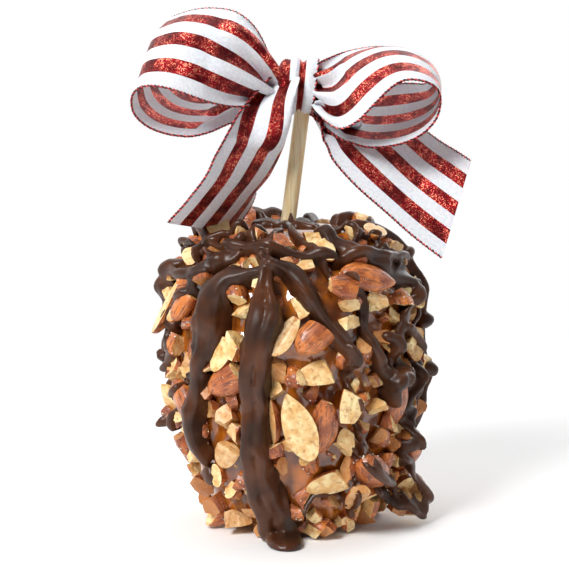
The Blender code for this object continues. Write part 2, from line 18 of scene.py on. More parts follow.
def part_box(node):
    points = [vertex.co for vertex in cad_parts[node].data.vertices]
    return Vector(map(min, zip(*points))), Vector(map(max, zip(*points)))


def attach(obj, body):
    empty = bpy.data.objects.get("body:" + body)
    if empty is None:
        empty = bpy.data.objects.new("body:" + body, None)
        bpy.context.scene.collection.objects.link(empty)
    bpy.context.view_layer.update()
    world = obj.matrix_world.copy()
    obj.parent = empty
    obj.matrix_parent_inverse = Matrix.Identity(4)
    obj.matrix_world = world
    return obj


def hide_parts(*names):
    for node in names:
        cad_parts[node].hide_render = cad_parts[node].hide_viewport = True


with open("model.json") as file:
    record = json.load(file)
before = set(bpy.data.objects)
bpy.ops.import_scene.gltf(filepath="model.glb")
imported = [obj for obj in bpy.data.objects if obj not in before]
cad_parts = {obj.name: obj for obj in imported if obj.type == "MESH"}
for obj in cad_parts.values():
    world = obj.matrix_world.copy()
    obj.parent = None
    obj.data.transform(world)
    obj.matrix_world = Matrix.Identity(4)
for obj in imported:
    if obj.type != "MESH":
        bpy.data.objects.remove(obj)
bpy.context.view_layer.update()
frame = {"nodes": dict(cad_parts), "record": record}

MM = 0.001  # everything below is worked out in millimetres

# %% [markdown]
# ## Camera
# The apple hangs in the view from the front, seen slightly from above with a long lens, which
# keeps the bow and the apple in their true proportions. The floor has no part in the object.
# It fades into the white surroundings a little way out, which gives an even ground without a
# horizon. A curved backdrop would do that too, but it would stand in the way when the apple is
# seen from behind.

# %% Camera
CAMERA_TARGET = Vector((-3.1, 0.0, 86.5)) * MM
CAMERA_DISTANCE = 577 * MM
CAMERA_ELEVATION = math.radians(7)

lens = bpy.data.cameras.new("camera")
lens.lens = 100
lens.sensor_width = 36
lens.clip_start = 0.01
camera = bpy.data.objects.new("camera", lens)
away = Vector((0, -math.cos(CAMERA_ELEVATION), math.sin(CAMERA_ELEVATION)))
camera.location = CAMERA_TARGET + away * CAMERA_DISTANCE
camera.rotation_euler = (math.pi / 2 - CAMERA_ELEVATION, 0, 0)
bpy.context.scene.collection.objects.link(camera)
bpy.context.scene.camera = camera
bpy.context.scene.view_settings.view_transform = "Standard"


# %% [markdown]
# ## Finishes from nodes
# Each finish is a small graph of nodes. Writing such a graph by hand takes many lines, so two
# helpers do the routine part: one adds a node and fills its sockets, the other starts a new
# material with its shader. Colours are written as they look on a screen and turned into the
# linear values that the shader expects.

# %% Helpers for node graphs
def colour(red, green, blue):
    """A screen colour from 0 to 255, as a linear colour with alpha."""
    made = []
    for value in (red, green, blue):
        share = value / 255
        made.append(share / 12.92 if share <= 0.04045 else ((share + 0.055) / 1.055) ** 2.4)
    return (*made, 1.0)


class Finish:
    """A material and short ways to add nodes to it."""

    def __init__(self, name, **settings):
        self.material = bpy.data.materials.new(name)
        self.material.use_nodes = True
        self.tree = self.material.node_tree
        self.shader = self.tree.nodes["Principled BSDF"]
        self.fill(self.shader, settings)

    def fill(self, node, sockets):
        for key, value in sockets.items():
            socket = node.inputs[key.replace("_", " ") if isinstance(key, str) else key]
            if isinstance(value, bpy.types.NodeSocket):
                self.tree.links.new(value, socket)
            else:
                socket.default_value = value

    def node(self, kind, sockets=None, **options):
        made = self.tree.nodes.new("ShaderNode" + kind)
        for key, value in options.items():
            setattr(made, key, value)
        self.fill(made, sockets or {})
        return made

    def place(self, stretch=(1, 1, 1)):
        """Coordinates in metres, stretched along the axes."""
        where = self.node("TexCoord").outputs["Object"]
        return self.node("Mapping", {"Vector": where, "Scale": stretch}).outputs["Vector"]

    def noise(self, size, detail=2.0, stretch=(1, 1, 1), where=None):
        """Soft noise whose bumps are about this many millimetres wide."""
        where = where or self.place(stretch)
        return self.node("TexNoise", {"Vector": where, "Scale": 1 / (size * MM),
                                      "Detail": detail}).outputs["Fac"]

    def attribute(self, name):
        return self.node("Attribute", attribute_name=name).outputs["Fac"]

    def ramp(self, value, low, high, start=0.0, end=1.0):
        """The value taken from low..high to start..end, with soft ends."""
        return self.node("MapRange", {"Value": value, "From Min": low, "From Max": high,
                                      "To Min": start, "To Max": end},
                         interpolation_type="SMOOTHSTEP").outputs["Result"]

    def math(self, operation, first, second=0.0):
        return self.node("Math", {0: first, 1: second}, operation=operation).outputs["Value"]

    def mix(self, share, first, second, blend="MIX"):
        made = self.node("Mix", data_type="RGBA", blend_type=blend)
        for index, value in ((0, share), (6, first), (7, second)):
            self.fill(made, {index: value})
        return made.outputs[2]

    def bump(self, height, depth, strength=1.0, below=None):
        """Relief of this many millimetres, on top of another relief where one is given."""
        sockets = {"Height": height, "Distance": depth * MM, "Strength": strength}
        if below is not None:
            sockets["Normal"] = below
        return self.node("Bump", sockets).outputs["Normal"]

    def set(self, **sockets):
        self.fill(self.shader, sockets)
        return self.material


# %% [markdown]
# ## Floor and light
# A product of this kind is lit by one large soft lamp from the upper left. It puts a broad
# white gleam on the caramel and leaves the right-hand side darker. Weak lamps from the right
# and from above open the shadows. The surroundings are white behind the apple and dimmer
# behind the viewer, because an even white all round would wash out the dark chocolate.

# %% Floor
FLOOR_HALF = 2.0
FLOOR_CLEAR = (0.16, 0.55)  # distances at which the floor starts and ends to fade

ground = Finish("floor_white", Base_Color=colour(250, 250, 250), Roughness=0.8)
ground.fill(ground.shader, {"Specular IOR Level": 0.1})
spot = ground.node("TexCoord").outputs["Object"]
reach = ground.node("VectorMath", {0: spot}, operation="LENGTH").outputs["Value"]
fade = ground.ramp(reach, *FLOOR_CLEAR)
clear = ground.node("BsdfTransparent").outputs["BSDF"]
blend = ground.node("MixShader", {0: fade, 1: ground.shader.outputs["BSDF"], 2: clear})
ground.tree.links.new(blend.outputs["Shader"],
                      ground.tree.nodes["Material Output"].inputs["Surface"])

floor_mesh = bpy.data.meshes.new("floor")
corners = [(x * FLOOR_HALF, y * FLOOR_HALF, 0.0) for x, y in ((-1, -1), (1, -1), (1, 1), (-1, 1))]
floor_mesh.from_pydata(corners, [], [(0, 1, 2, 3)])
floor_mesh.materials.append(ground.material)
floor = bpy.data.objects.new("floor", floor_mesh)
floor.location.z = -0.2 * MM
bpy.context.scene.collection.objects.link(floor)

# %% Lamps and surroundings
LAMPS = [
    # name, place (x, y, z) in metres, width, power in watts
    ("key_lamp", (-0.42, -0.58, 0.62), 0.36, 9.0),
    ("right_fill", (0.75, -0.55, 0.25), 0.5, 0.5),
    ("top_lamp", (0.05, 0.25, 0.8), 0.45, 1.5),
    ("back_lamp", (0.5, 0.7, 0.45), 0.4, 1.5),
]
AIM = Vector((0, 0, 0.07))

for name, place, width, power in LAMPS:
    lamp = bpy.data.lights.new(name, "AREA")
    lamp.size = width
    lamp.energy = power
    holder = bpy.data.objects.new(name, lamp)
    holder.location = place
    holder.rotation_euler = (AIM - Vector(place)).to_track_quat("-Z", "Y").to_euler()
    bpy.context.scene.collection.objects.link(holder)

WHITE_BEHIND = 1.0
DIM_IN_FRONT = 0.1

world = bpy.data.worlds.new("surroundings")
bpy.context.scene.world = world
world.use_nodes = True
nodes = world.node_tree.nodes
links = world.node_tree.links
facing = nodes.new("ShaderNodeSeparateXYZ")
links.new(nodes.new("ShaderNodeTexCoord").outputs["Generated"], facing.inputs["Vector"])
share = nodes.new("ShaderNodeMapRange")
share.interpolation_type = "SMOOTHSTEP"
for key, value in (("From Min", -0.5), ("From Max", 0.45), ("To Min", DIM_IN_FRONT),
                   ("To Max", WHITE_BEHIND)):
    share.inputs[key].default_value = value
links.new(facing.outputs["Y"], share.inputs["Value"])
links.new(share.outputs["Result"], nodes["Background"].inputs["Strength"])
nodes["Background"].inputs["Color"].default_value = (1, 1, 1, 1)


# %% [markdown]
# ## Tools for shapes
# Four small tools serve every layer. A smooth line through a few given stops gives the
# routes. Soft random values, repeatable because they come from a fixed formula, make nothing
# look machine-made. A heap gathers many small shapes into one mesh. A map of heights over
# the whole apple says how far out its surface lies in each direction, so that each new layer
# lands on what is already there, as it would when poured or pressed on by hand.

# %% Lines, directions and soft random values
def through(stops, steps):
    """A smooth line through the stops, as rows, with a number of steps between two stops."""
    rows = np.array(stops, float)
    rows = np.vstack([2 * rows[0] - rows[1], rows, 2 * rows[-1] - rows[-2]])
    line = []
    for i in range(1, len(rows) - 2):
        a, b, c, d = rows[i - 1:i + 3]
        for t in np.linspace(0, 1, steps, endpoint=False):
            line.append(0.5 * (2 * b + (c - a) * t + (2 * a - 5 * b + 4 * c - d) * t * t
                               + (3 * b - a - 3 * c + d) * t ** 3))
    line.append(rows[-2])
    return np.array(line)


def directions(azimuth, elevation):
    """Unit vectors from the apple's centre: azimuth 0 is the front, 90 the right-hand side."""
    a = np.radians(azimuth)
    e = np.radians(elevation)
    return np.stack([np.cos(e) * np.sin(a), -np.cos(e) * np.cos(a), np.sin(e)], -1)


def angles_of(points):
    """Azimuth and elevation in degrees of points given from the apple's centre."""
    length = np.linalg.norm(points, axis=-1)
    azimuth = np.degrees(np.arctan2(points[..., 0], -points[..., 1]))
    elevation = np.degrees(np.arcsin(np.clip(points[..., 2] / length, -1, 1)))
    return azimuth, elevation, length


def unit(vectors):
    return vectors / np.maximum(np.linalg.norm(vectors, axis=-1, keepdims=True), 1e-9)


def wander(points, size, seed=0):
    """Soft random values from -1 to 1; size is the width of one bump in the points' units."""
    p = np.asarray(points, float) / size + seed * 17.31
    cell = np.floor(p).astype(np.int64)
    part = p - cell
    part = part * part * (3 - 2 * part)
    total = np.zeros(p.shape[:-1])
    for corner in np.ndindex(*(2,) * p.shape[-1]):
        key = cell + np.array(corner)
        mixed = np.zeros(p.shape[:-1], np.int64)
        for axis, prime in zip(range(p.shape[-1]), (73856093, 19349663, 83492791)):
            mixed ^= key[..., axis] * prime
        mixed = ((mixed ^ (mixed >> 13)) * 1274126177) & 0xffffffff
        value = (mixed >> 8 & 0xffff) / 32767.5 - 1
        share = np.prod(np.where(np.array(corner) == 1, part, 1 - part), axis=-1)
        total += value * share
    return total


def line_wander(lengths, size, seed):
    """Soft random values along a line."""
    return wander(np.stack([lengths, np.full(len(lengths), 0.37)], -1), size, seed)


# %% Meshes
def quads(rows, columns, closed=False):
    """Faces of a grid of points stored row by row; closed joins the last column to the first."""
    i, j = np.meshgrid(np.arange(rows - 1), np.arange(columns if closed else columns - 1),
                       indexing="ij")
    k = (j + 1) % columns
    grid = [i * columns + j, i * columns + k, (i + 1) * columns + k, (i + 1) * columns + j]
    return np.stack(grid, -1).reshape(-1, 4).tolist()


def slab(inner, outer):
    """A closed body between two grids of points, given as (rows, columns, 3)."""
    rows, columns = inner.shape[:2]
    points = np.concatenate([inner.reshape(-1, 3), outer.reshape(-1, 3)])
    faces = [f[::-1] for f in quads(rows, columns)]
    shift = rows * columns
    faces += [[k + shift for k in f] for f in quads(rows, columns)]
    rim = list(range(columns))
    rim += [i * columns + columns - 1 for i in range(1, rows)]
    rim += [(rows - 1) * columns + j for j in range(columns - 2, -1, -1)]
    rim += [i * columns for i in range(rows - 2, 0, -1)]
    for here, after in zip(rim, rim[1:] + rim[:1]):
        faces.append([here, after, after + shift, here + shift])
    return points, faces


class Heap:
    """Many shapes gathered into one mesh, each face with the number of its finish."""

    def __init__(self):
        self.points = []
        self.faces = []
        self.finish = []
        self.carried = {}
        self.count = 0

    def add(self, points, faces, finish=0, **carried):
        """Add a shape; carried are named values or vectors that its points keep for a finish."""
        self.points.append(np.asarray(points, float))
        self.faces += [[k + self.count for k in f] for f in faces]
        self.finish += [finish] * len(faces) if isinstance(finish, int) else list(finish)
        for name, values in carried.items():
            self.carried.setdefault(name, []).append(np.asarray(values, float))
        self.count += len(points)

    def piece(self, name, finishes, sharp=None):
        """Make the object, riding on the apple."""
        mesh = bpy.data.meshes.new(name)
        mesh.from_pydata((np.concatenate(self.points) * MM).tolist(), [], self.faces)
        for finish in finishes:
            mesh.materials.append(finish)
        mesh.polygons.foreach_set("material_index", self.finish)
        for label, values in self.carried.items():
            values = np.concatenate(values)
            kind, key = ("FLOAT_VECTOR", "vector") if values.ndim == 2 else ("FLOAT", "value")
            mesh.attributes.new(label, kind, "POINT").data.foreach_set(key, values.ravel())
        mesh.shade_smooth()
        if sharp is not None:
            mesh.set_sharp_from_angle(angle=math.radians(sharp))
        made = bpy.data.objects.new(name, mesh)
        bpy.context.scene.collection.objects.link(made)
        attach(made, "root")
        triangles = sum(len(f) - 2 for f in self.faces)
        print(name, "has", triangles, "triangles")
        return made


# %% A map of heights round the apple
def node_faces(*names):
    """Points (in millimetres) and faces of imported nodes, as one soup."""
    points = []
    faces = []
    for name in names:
        mesh = frame["nodes"][name].data
        first = len(points)
        points += [tuple(v.co / MM) for v in mesh.vertices]
        faces += [[first + k for k in polygon.vertices] for polygon in mesh.polygons]
    return points, faces


body_low, body_high = (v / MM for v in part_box("caramel_apple_body"))
CENTRE = np.array([0.0, 0.0, body_high.z * 0.537])
STEP = 0.5  # degrees between two columns or rows of the map
AROUND = int(360 / STEP)
UPRIGHT = int(180 / STEP) + 1
map_azimuth, map_elevation = np.meshgrid(np.arange(AROUND) * STEP - 180,
                                         np.linspace(-90, 90, UPRIGHT), indexing="xy")
map_ways = directions(map_azimuth, map_elevation)


def cast(points, faces, ways):
    """How far out the outermost surface lies in these directions; 0 where there is none."""
    tree = BVHTree.FromPolygons(points, faces)
    far = 200.0
    found = np.zeros(len(ways))
    middle = Vector(CENTRE)
    for k, way in enumerate(ways.tolist()):
        outward = Vector(way)
        distance = tree.ray_cast(middle + outward * far, -outward, far)[3]
        if distance is not None:
            found[k] = far - distance
    return found


def blur(values, sigma, axis, wrap=False):
    """Soften an array along one axis; sigma is in steps."""
    if sigma < 0.05:
        return values
    reach = max(1, int(3 * sigma))
    weights = np.exp(-0.5 * (np.arange(-reach, reach + 1) / sigma) ** 2)
    weights /= weights.sum()
    padding = [(0, 0)] * values.ndim
    padding[axis] = (reach, reach)
    padded = np.pad(values, padding, mode="wrap" if wrap else "edge")
    total = np.zeros_like(values)
    for k, weight in enumerate(weights):
        take = [slice(None)] * values.ndim
        take[axis] = slice(k, k + values.shape[axis])
        total += weight * padded[tuple(take)]
    return total


def highest_near(values, reach, axis):
    """Each value replaced by the highest within reach steps along an axis."""
    padding = [(0, 0)] * values.ndim
    padding[axis] = (reach, reach)
    padded = np.pad(values, padding, mode="edge")
    best = values
    for k in range(2 * reach + 1):
        take = [slice(None)] * values.ndim
        take[axis] = slice(k, k + values.shape[axis])
        best = np.maximum(best, padded[tuple(take)])
    return best


class HeightMap:
    """Distances from the apple's centre, kept for every direction."""

    def __init__(self, values):
        self.values = values

    def at(self, azimuth, elevation):
        column = (np.asarray(azimuth) + 180) / STEP
        row = np.clip((np.asarray(elevation) + 90) / STEP, 0, UPRIGHT - 1.001)
        i = np.floor(row).astype(int)
        j = np.floor(column).astype(int)
        down = row - i
        right = column - j
        j0 = j % AROUND
        j1 = (j + 1) % AROUND
        low = self.values[i, j0] * (1 - right) + self.values[i, j1] * right
        high = self.values[i + 1, j0] * (1 - right) + self.values[i + 1, j1] * right
        return low * (1 - down) + high * down

    def cover(self, points):
        """Raise the map to these points, each with the cells round it."""
        azimuth, elevation, length = angles_of(points.reshape(-1, 3) - CENTRE)
        row = np.clip(np.round((elevation + 90) / STEP).astype(int), 1, UPRIGHT - 2)
        column = np.round((azimuth + 180) / STEP).astype(int)
        for down in (-1, 0, 1):
            for right in (-1, 0, 1):
                np.maximum.at(self.values, (row + down, (column + right) % AROUND), length)


bare = cast(*node_faces("caramel_apple_body"), map_ways.reshape(-1, 3)).reshape(map_ways.shape[:2])
bare = blur(blur(bare, 3.0, 0), 3.0, 1, wrap=True)
print("bare caramel lies", round(bare.min(), 1), "to", round(bare.max(), 1), "mm from the centre")


# %% [markdown]
# ## Almond skins and flesh
# A roasted almond shows two finishes. Its skin is reddish brown, finely wrinkled along the
# kernel and dusted with bright specks of salt and sugar. Its flesh, where a kernel is
# split or chopped, is pale cream, a little darker and rougher where the knife went through
# and toasted golden in places. A painted picture could carry this, but it would need a
# picture; noise at three sizes gives the same and never repeats.

# %% Almond finishes
def kernel_place(finish, stretch=(1, 1, 1)):
    """Coordinates along the kernel's own axes, so that streaks run from tip to tip."""
    where = finish.node("Attribute", attribute_name="grain").outputs["Vector"]
    return finish.node("Mapping", {"Vector": where, "Scale": stretch}).outputs["Vector"]


def almond_skin():
    finish = Finish("almond_skin", Roughness=0.5)
    broad = finish.noise(5.0, 2.0, where=kernel_place(finish))
    wrinkle = finish.noise(0.75, 3.0, where=kernel_place(finish, (1, 0.16, 1)))
    fine = finish.noise(0.5, 3.0, where=kernel_place(finish))
    roasted = finish.mix(finish.ramp(broad, 0.3, 0.7), colour(230, 136, 64), colour(160, 80, 38))
    darker = finish.mix(finish.math("MULTIPLY", finish.attribute("tone"), 0.8), roasted,
                        colour(132, 62, 30))
    streaked = finish.mix(finish.ramp(wrinkle, 0.46, 0.68, 0.0, 0.75), darker, colour(80, 32, 15))
    grains = finish.node("TexVoronoi", {"Vector": kernel_place(finish), "Scale": 1 / (0.8 * MM)})
    speck = finish.ramp(grains.outputs["Distance"], 0.2, 0.12)
    chosen = finish.math("MULTIPLY", speck, finish.ramp(grains.outputs["Color"], 0.6, 0.68))
    dusted = finish.mix(chosen, streaked, colour(255, 236, 206))
    relief = finish.bump(wrinkle, 0.45, 0.6)
    relief = finish.bump(fine, 0.12, 0.5, relief)
    relief = finish.bump(chosen, 0.3, 0.8, relief)
    finish.fill(finish.shader, {"Coat Weight": 0.45, "Coat Roughness": 0.2,
                                "Subsurface Weight": 0.12, "Subsurface Scale": 0.8 * MM,
                                "Subsurface Radius": (1.0, 0.45, 0.2)})
    return finish.set(Base_Color=dusted, Normal=relief,
                      Roughness=finish.ramp(broad, 0.3, 0.7, 0.35, 0.55))


def almond_flesh():
    finish = Finish("almond_flesh", Roughness=0.5)
    broad = finish.noise(4.0, 3.0, where=kernel_place(finish))
    grain = finish.noise(0.7, 3.0, where=kernel_place(finish, (1, 0.3, 1)))
    broken = finish.noise(1.6, 3.0, where=kernel_place(finish))
    pale = finish.mix(finish.ramp(broad, 0.34, 0.68), colour(252, 226, 168), colour(226, 176, 106))
    toasted = finish.mix(finish.ramp(finish.attribute("tone"), 0.1, 0.9, 0.0, 0.95), pale,
                         colour(190, 120, 62))
    grained = finish.mix(finish.ramp(grain, 0.5, 0.85, 0.0, 0.35), toasted, colour(196, 138, 78))
    browned = finish.mix(finish.ramp(broken, 0.54, 0.7, 0.0, 0.6), grained, colour(176, 108, 54))
    relief = finish.bump(broken, 0.8, 0.6)
    relief = finish.bump(grain, 0.16, 0.5, relief)
    finish.fill(finish.shader, {"Subsurface Weight": 0.2, "Subsurface Scale": 0.8 * MM,
                                "Subsurface Radius": (1.0, 0.6, 0.3),
                                "Coat Weight": 0.2, "Coat Roughness": 0.25})
    return finish.set(Base_Color=browned, Normal=relief,
                      Roughness=finish.ramp(grain, 0.3, 0.7, 0.36, 0.58))


skin = almond_skin()
flesh = almond_flesh()
FLESH, SKIN = 0, 1  # numbers of the two finishes in every almond mesh


# %% [markdown]
# ## Whole and split almonds
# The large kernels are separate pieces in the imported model, each in its place but with few
# faces. Smoothing those would shrink them and round off the knife cuts. So each kernel is made
# afresh from the shape of an almond: widest nearer its blunt end, pointed at its tip, half as
# wide as it is long, with its skin wrinkled lengthwise. A split kernel has a nearly flat face
# with a faint hollow at the tip, and a cut one ends in a rough break. The table says how each
# one is turned; its place is the middle of its node.

# %% The shape of an almond
WIDTH_SHARE = {"whole": 0.5, "split": 0.42}
THICK_SHARE = 0.34
SPLIT_SHARE = 0.19


def kernel(kind, length, keep, seed=0, rings=34, around=40):
    """An almond along +Y with its tip at +Y and its skin towards +Z: points, faces, finishes."""
    half_width = WIDTH_SHARE[kind] * length / 2
    half_thick = THICK_SHARE * length / 2 if kind == "whole" else SPLIT_SHARE * length
    low, high = keep
    cut_low = low > 0.02
    cut_high = high < 0.98
    share = 0.5 - 0.5 * np.cos(np.pi * np.linspace(0, 1, rings))
    t = low + (high - low) * share
    t = np.clip(t, 0.008, 0.992)
    if kind == "whole":
        a = np.linspace(0, 2 * np.pi, around, endpoint=False)
        across = np.cos(a)
        lift = np.sin(a)
    else:
        dome = int(around * 0.6)
        chord = around - dome
        a = np.linspace(0, np.pi, dome)
        inner = np.linspace(-1, 1, chord + 2)[1:-1]
        across = np.concatenate([np.cos(a), inner])
        lift = np.concatenate([np.sin(a), np.zeros(chord)])
    bulge = np.sin(np.pi * t ** 0.86) ** (0.60 + 0.14 * t)
    x = half_width * bulge[:, None] * across
    z = half_thick * (bulge ** 0.8)[:, None] * lift
    y = np.repeat(((t - (low + high) / 2) * length)[:, None], len(across), 1)
    if kind == "split":
        # The split face is a little full, with a crease along it and a notch near the tip.
        face = np.arange(len(across)) >= dome
        u = across[None, :]
        full = 0.5 * (1 - u ** 2) * np.sin(np.pi * t)[:, None]
        crease = 0.35 * np.exp(-(u * bulge[:, None] / 0.09) ** 2) * (t[:, None] > 0.2)
        notch = 0.8 * np.exp(-((t[:, None] - 0.86) / 0.05) ** 2 - (u / 0.35) ** 2)
        z = np.where(face[None, :], -full + crease + notch, z)
    points = np.stack([x, y, z], -1)
    wrinkle = wander(points * np.array([1, 0.16, 1]), 1.3, seed)
    dent = wander(points, 5.0, seed + 3)
    body = np.stack([x / half_width ** 2, 0 * y, z / half_thick ** 2], -1)
    outward = unit(body)
    strength = np.ones(len(across))
    if kind == "split":
        strength = np.where(face, 0.15, 1.0)
    points = points + outward * ((0.13 * wrinkle + 0.28 * dent) * strength)[..., None]
    count = len(across)
    for cut, row, side in ((cut_low, 0, -1), (cut_high, rings - 1, 1)):
        if cut:
            # A knife cut is never square to the kernel.
            tilt = np.random.default_rng(seed + row).uniform(-0.45, 0.45, 2)
            slope = points[row, :, 0] * tilt[0] + points[row, :, 2] * tilt[1]
            near = np.clip(share if side > 0 else 1 - share, 0, 1) ** 2
            points[..., 1] += near[:, None] * slope[None, :]
    flat = points.reshape(-1, 3)
    faces = quads(rings, count, closed=True)
    if kind == "whole":
        finishes = [SKIN] * len(faces)
    else:
        finishes = [SKIN if k % count < dome - 1 else FLESH for k in range(len(faces))]
    extra = []
    for cut, row, side in ((cut_low, 0, -1), (cut_high, rings - 1, 1)):
        ring = [row * count + j for j in range(count)]
        middle = flat[ring].mean(0)
        last = ring
        for shrink in (0.72, 0.42) if cut else ():
            loop = middle + (flat[ring] - middle) * shrink
            loop[:, 1] += 0.45 * wander(loop, 1.6, seed + 9) + side * 0.15
            first = len(flat) + sum(len(e) for e in extra)
            extra.append(loop)
            here = list(range(first, first + count))
            for j in range(count):
                k = (j + 1) % count
                faces.append([last[j], last[k], here[k], here[j]][::side])
                finishes.append(FLESH)
            last = here
        tip = middle + np.array([0, side * (0.1 if cut else 0.15), 0])
        first = len(flat) + sum(len(e) for e in extra)
        extra.append(tip[None, :])
        for j in range(count):
            faces.append([last[j], last[(j + 1) % count], first][::side])
            finishes.append(FLESH if cut else finishes[min(j, len(finishes) - 1)])
    points = np.concatenate([flat] + extra)
    return points, faces, finishes


def turned_frame(way, turn, roll):
    """Axes of an almond that lies on the apple: across, along its tip, and outwards."""
    azimuth, elevation, _ = angles_of(way)
    up = unit(directions(azimuth, elevation + 1) - way)
    side = unit(np.cross(up, way))
    t = math.radians(turn)
    along = up * math.cos(t) + side * math.sin(t)
    across = unit(np.cross(along, way))
    axes = np.stack([across, along, unit(np.cross(across, along))], -1)
    r = math.radians(roll)
    spin = np.array([[math.cos(r), 0, math.sin(r)], [0, 1, 0], [-math.sin(r), 0, math.cos(r)]])
    return axes @ spin


# %% Place the large almonds
# name: turn of the tip clockwise from straight up, roll about the kernel's own length,
# length of the whole kernel in mm, and the part of the length that is left
LARGE_ALMONDS = {
    "shoulder": (107, 0, 22, 0.0, 1.0), "upright": (5, 0, 22, 0.0, 0.9),
    "split_front": (-19, 180, 27, 0.0, 1.0), "low_right": (135, 25, 25, 0.0, 1.0),
    "left": (148, 10, 24, 0.0, 1.0), "left_rim": (8, 182, 24, 0.0, 1.0),
    "oval": (32, 175, 17, 0.0, 0.9), "centre": (50, 0, 22, 0.0, 0.52),
    "beside_strand": (0, 120, 17, 0.0, 1.0), "sparkly": (60, 0, 22, 0.0, 0.65),
    "wedge_left": (20, 170, 22, 0.0, 0.55), "low_left": (40, 165, 22, 0.0, 0.55),
    "left_inner": (20, 10, 17, 0.0, 0.65), "left_edge": (10, 220, 20, 0.0, 0.8),
    "top_front": (70, 165, 17, 0.0, 0.5), "top_right": (-15, 170, 18, 0.0, 0.55),
    "amber": (100, 0, 18, 0.1, 0.6), "crown_right": (75, 165, 20, 0.0, 0.8),
    "square": (10, 175, 21, 0.1, 0.58), "right": (165, 15, 21, 0.0, 0.95),
    "low_front": (70, 160, 22, 0.0, 0.6), "low_split": (0, 165, 18, 0.0, 0.6),
    "right_edge": (150, 20, 22, 0.0, 1.0), "right_top": (5, 140, 18, 0.0, 0.6),
    "right_mid": (15, 150, 21, 0.0, 0.6), "centre_low": (80, 165, 21, 0.0, 0.55),
    "back_1": (60, 0, 23, 0.0, 1.0), "back_2": (-30, 170, 24, 0.0, 1.0),
    "back_3": (80, 10, 22, 0.0, 0.8), "back_4": (120, 0, 22, 0.0, 1.0),
    "back_5": (30, 175, 23, 0.0, 1.0), "back_6": (20, 165, 22, 0.0, 0.7),
    "back_7": (-15, 0, 23, 0.0, 1.0), "back_8": (70, 20, 22, 0.0, 0.8),
    "back_9": (95, 170, 24, 0.0, 1.0), "back_10": (15, 0, 23, 0.0, 1.0),
    "back_11": (-40, 10, 22, 0.0, 0.9), "back_12": (60, 175, 23, 0.0, 1.0),
    "back_13": (10, 165, 22, 0.0, 0.8),
}
slots = {part["node"]: part["material_slot"] for part in frame["record"]["subparts"]}
heaps = {"whole": Heap(), "split": Heap()}
large = Heap()  # all of them, for the height map
nodes_of = {"whole": [], "split": []}
worst = 0.0
for number, (short, (turn, roll, length, low, high)) in enumerate(LARGE_ALMONDS.items()):
    node = "almond_" + short
    kind = "whole" if slots[node] == "almond_skin" else "split"
    box_low, box_high = (np.array(v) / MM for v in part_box(node))
    way = unit((box_low + box_high) / 2 - CENTRE)
    own, faces, finishes = kernel(kind, length, (low, high), seed=number)
    points = own @ turned_frame(way, turn, roll).T
    shift = (box_low + box_high) / 2 - (points.min(0) + points.max(0)) / 2
    points = points + shift
    worst = max(worst, abs((points.max(0) - points.min(0)) - (box_high - box_low)).max())
    tone = np.full(len(points), (number * 0.37) % 0.6)
    heaps[kind].add(points, faces, finishes, grain=(own + number * 31.0) * MM, tone=tone)
    large.add(points, faces)
    nodes_of[kind].append(node)
print("largest difference between a kernel and its node:", round(worst, 1), "mm")

for kind, name, slot in (("whole", "whole_almonds", "almond_skin"),
                         ("split", "split_almonds", "almond_cream")):
    almonds = heaps[kind].piece(name, [flesh, skin], sharp=50)
    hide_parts(*nodes_of[kind])
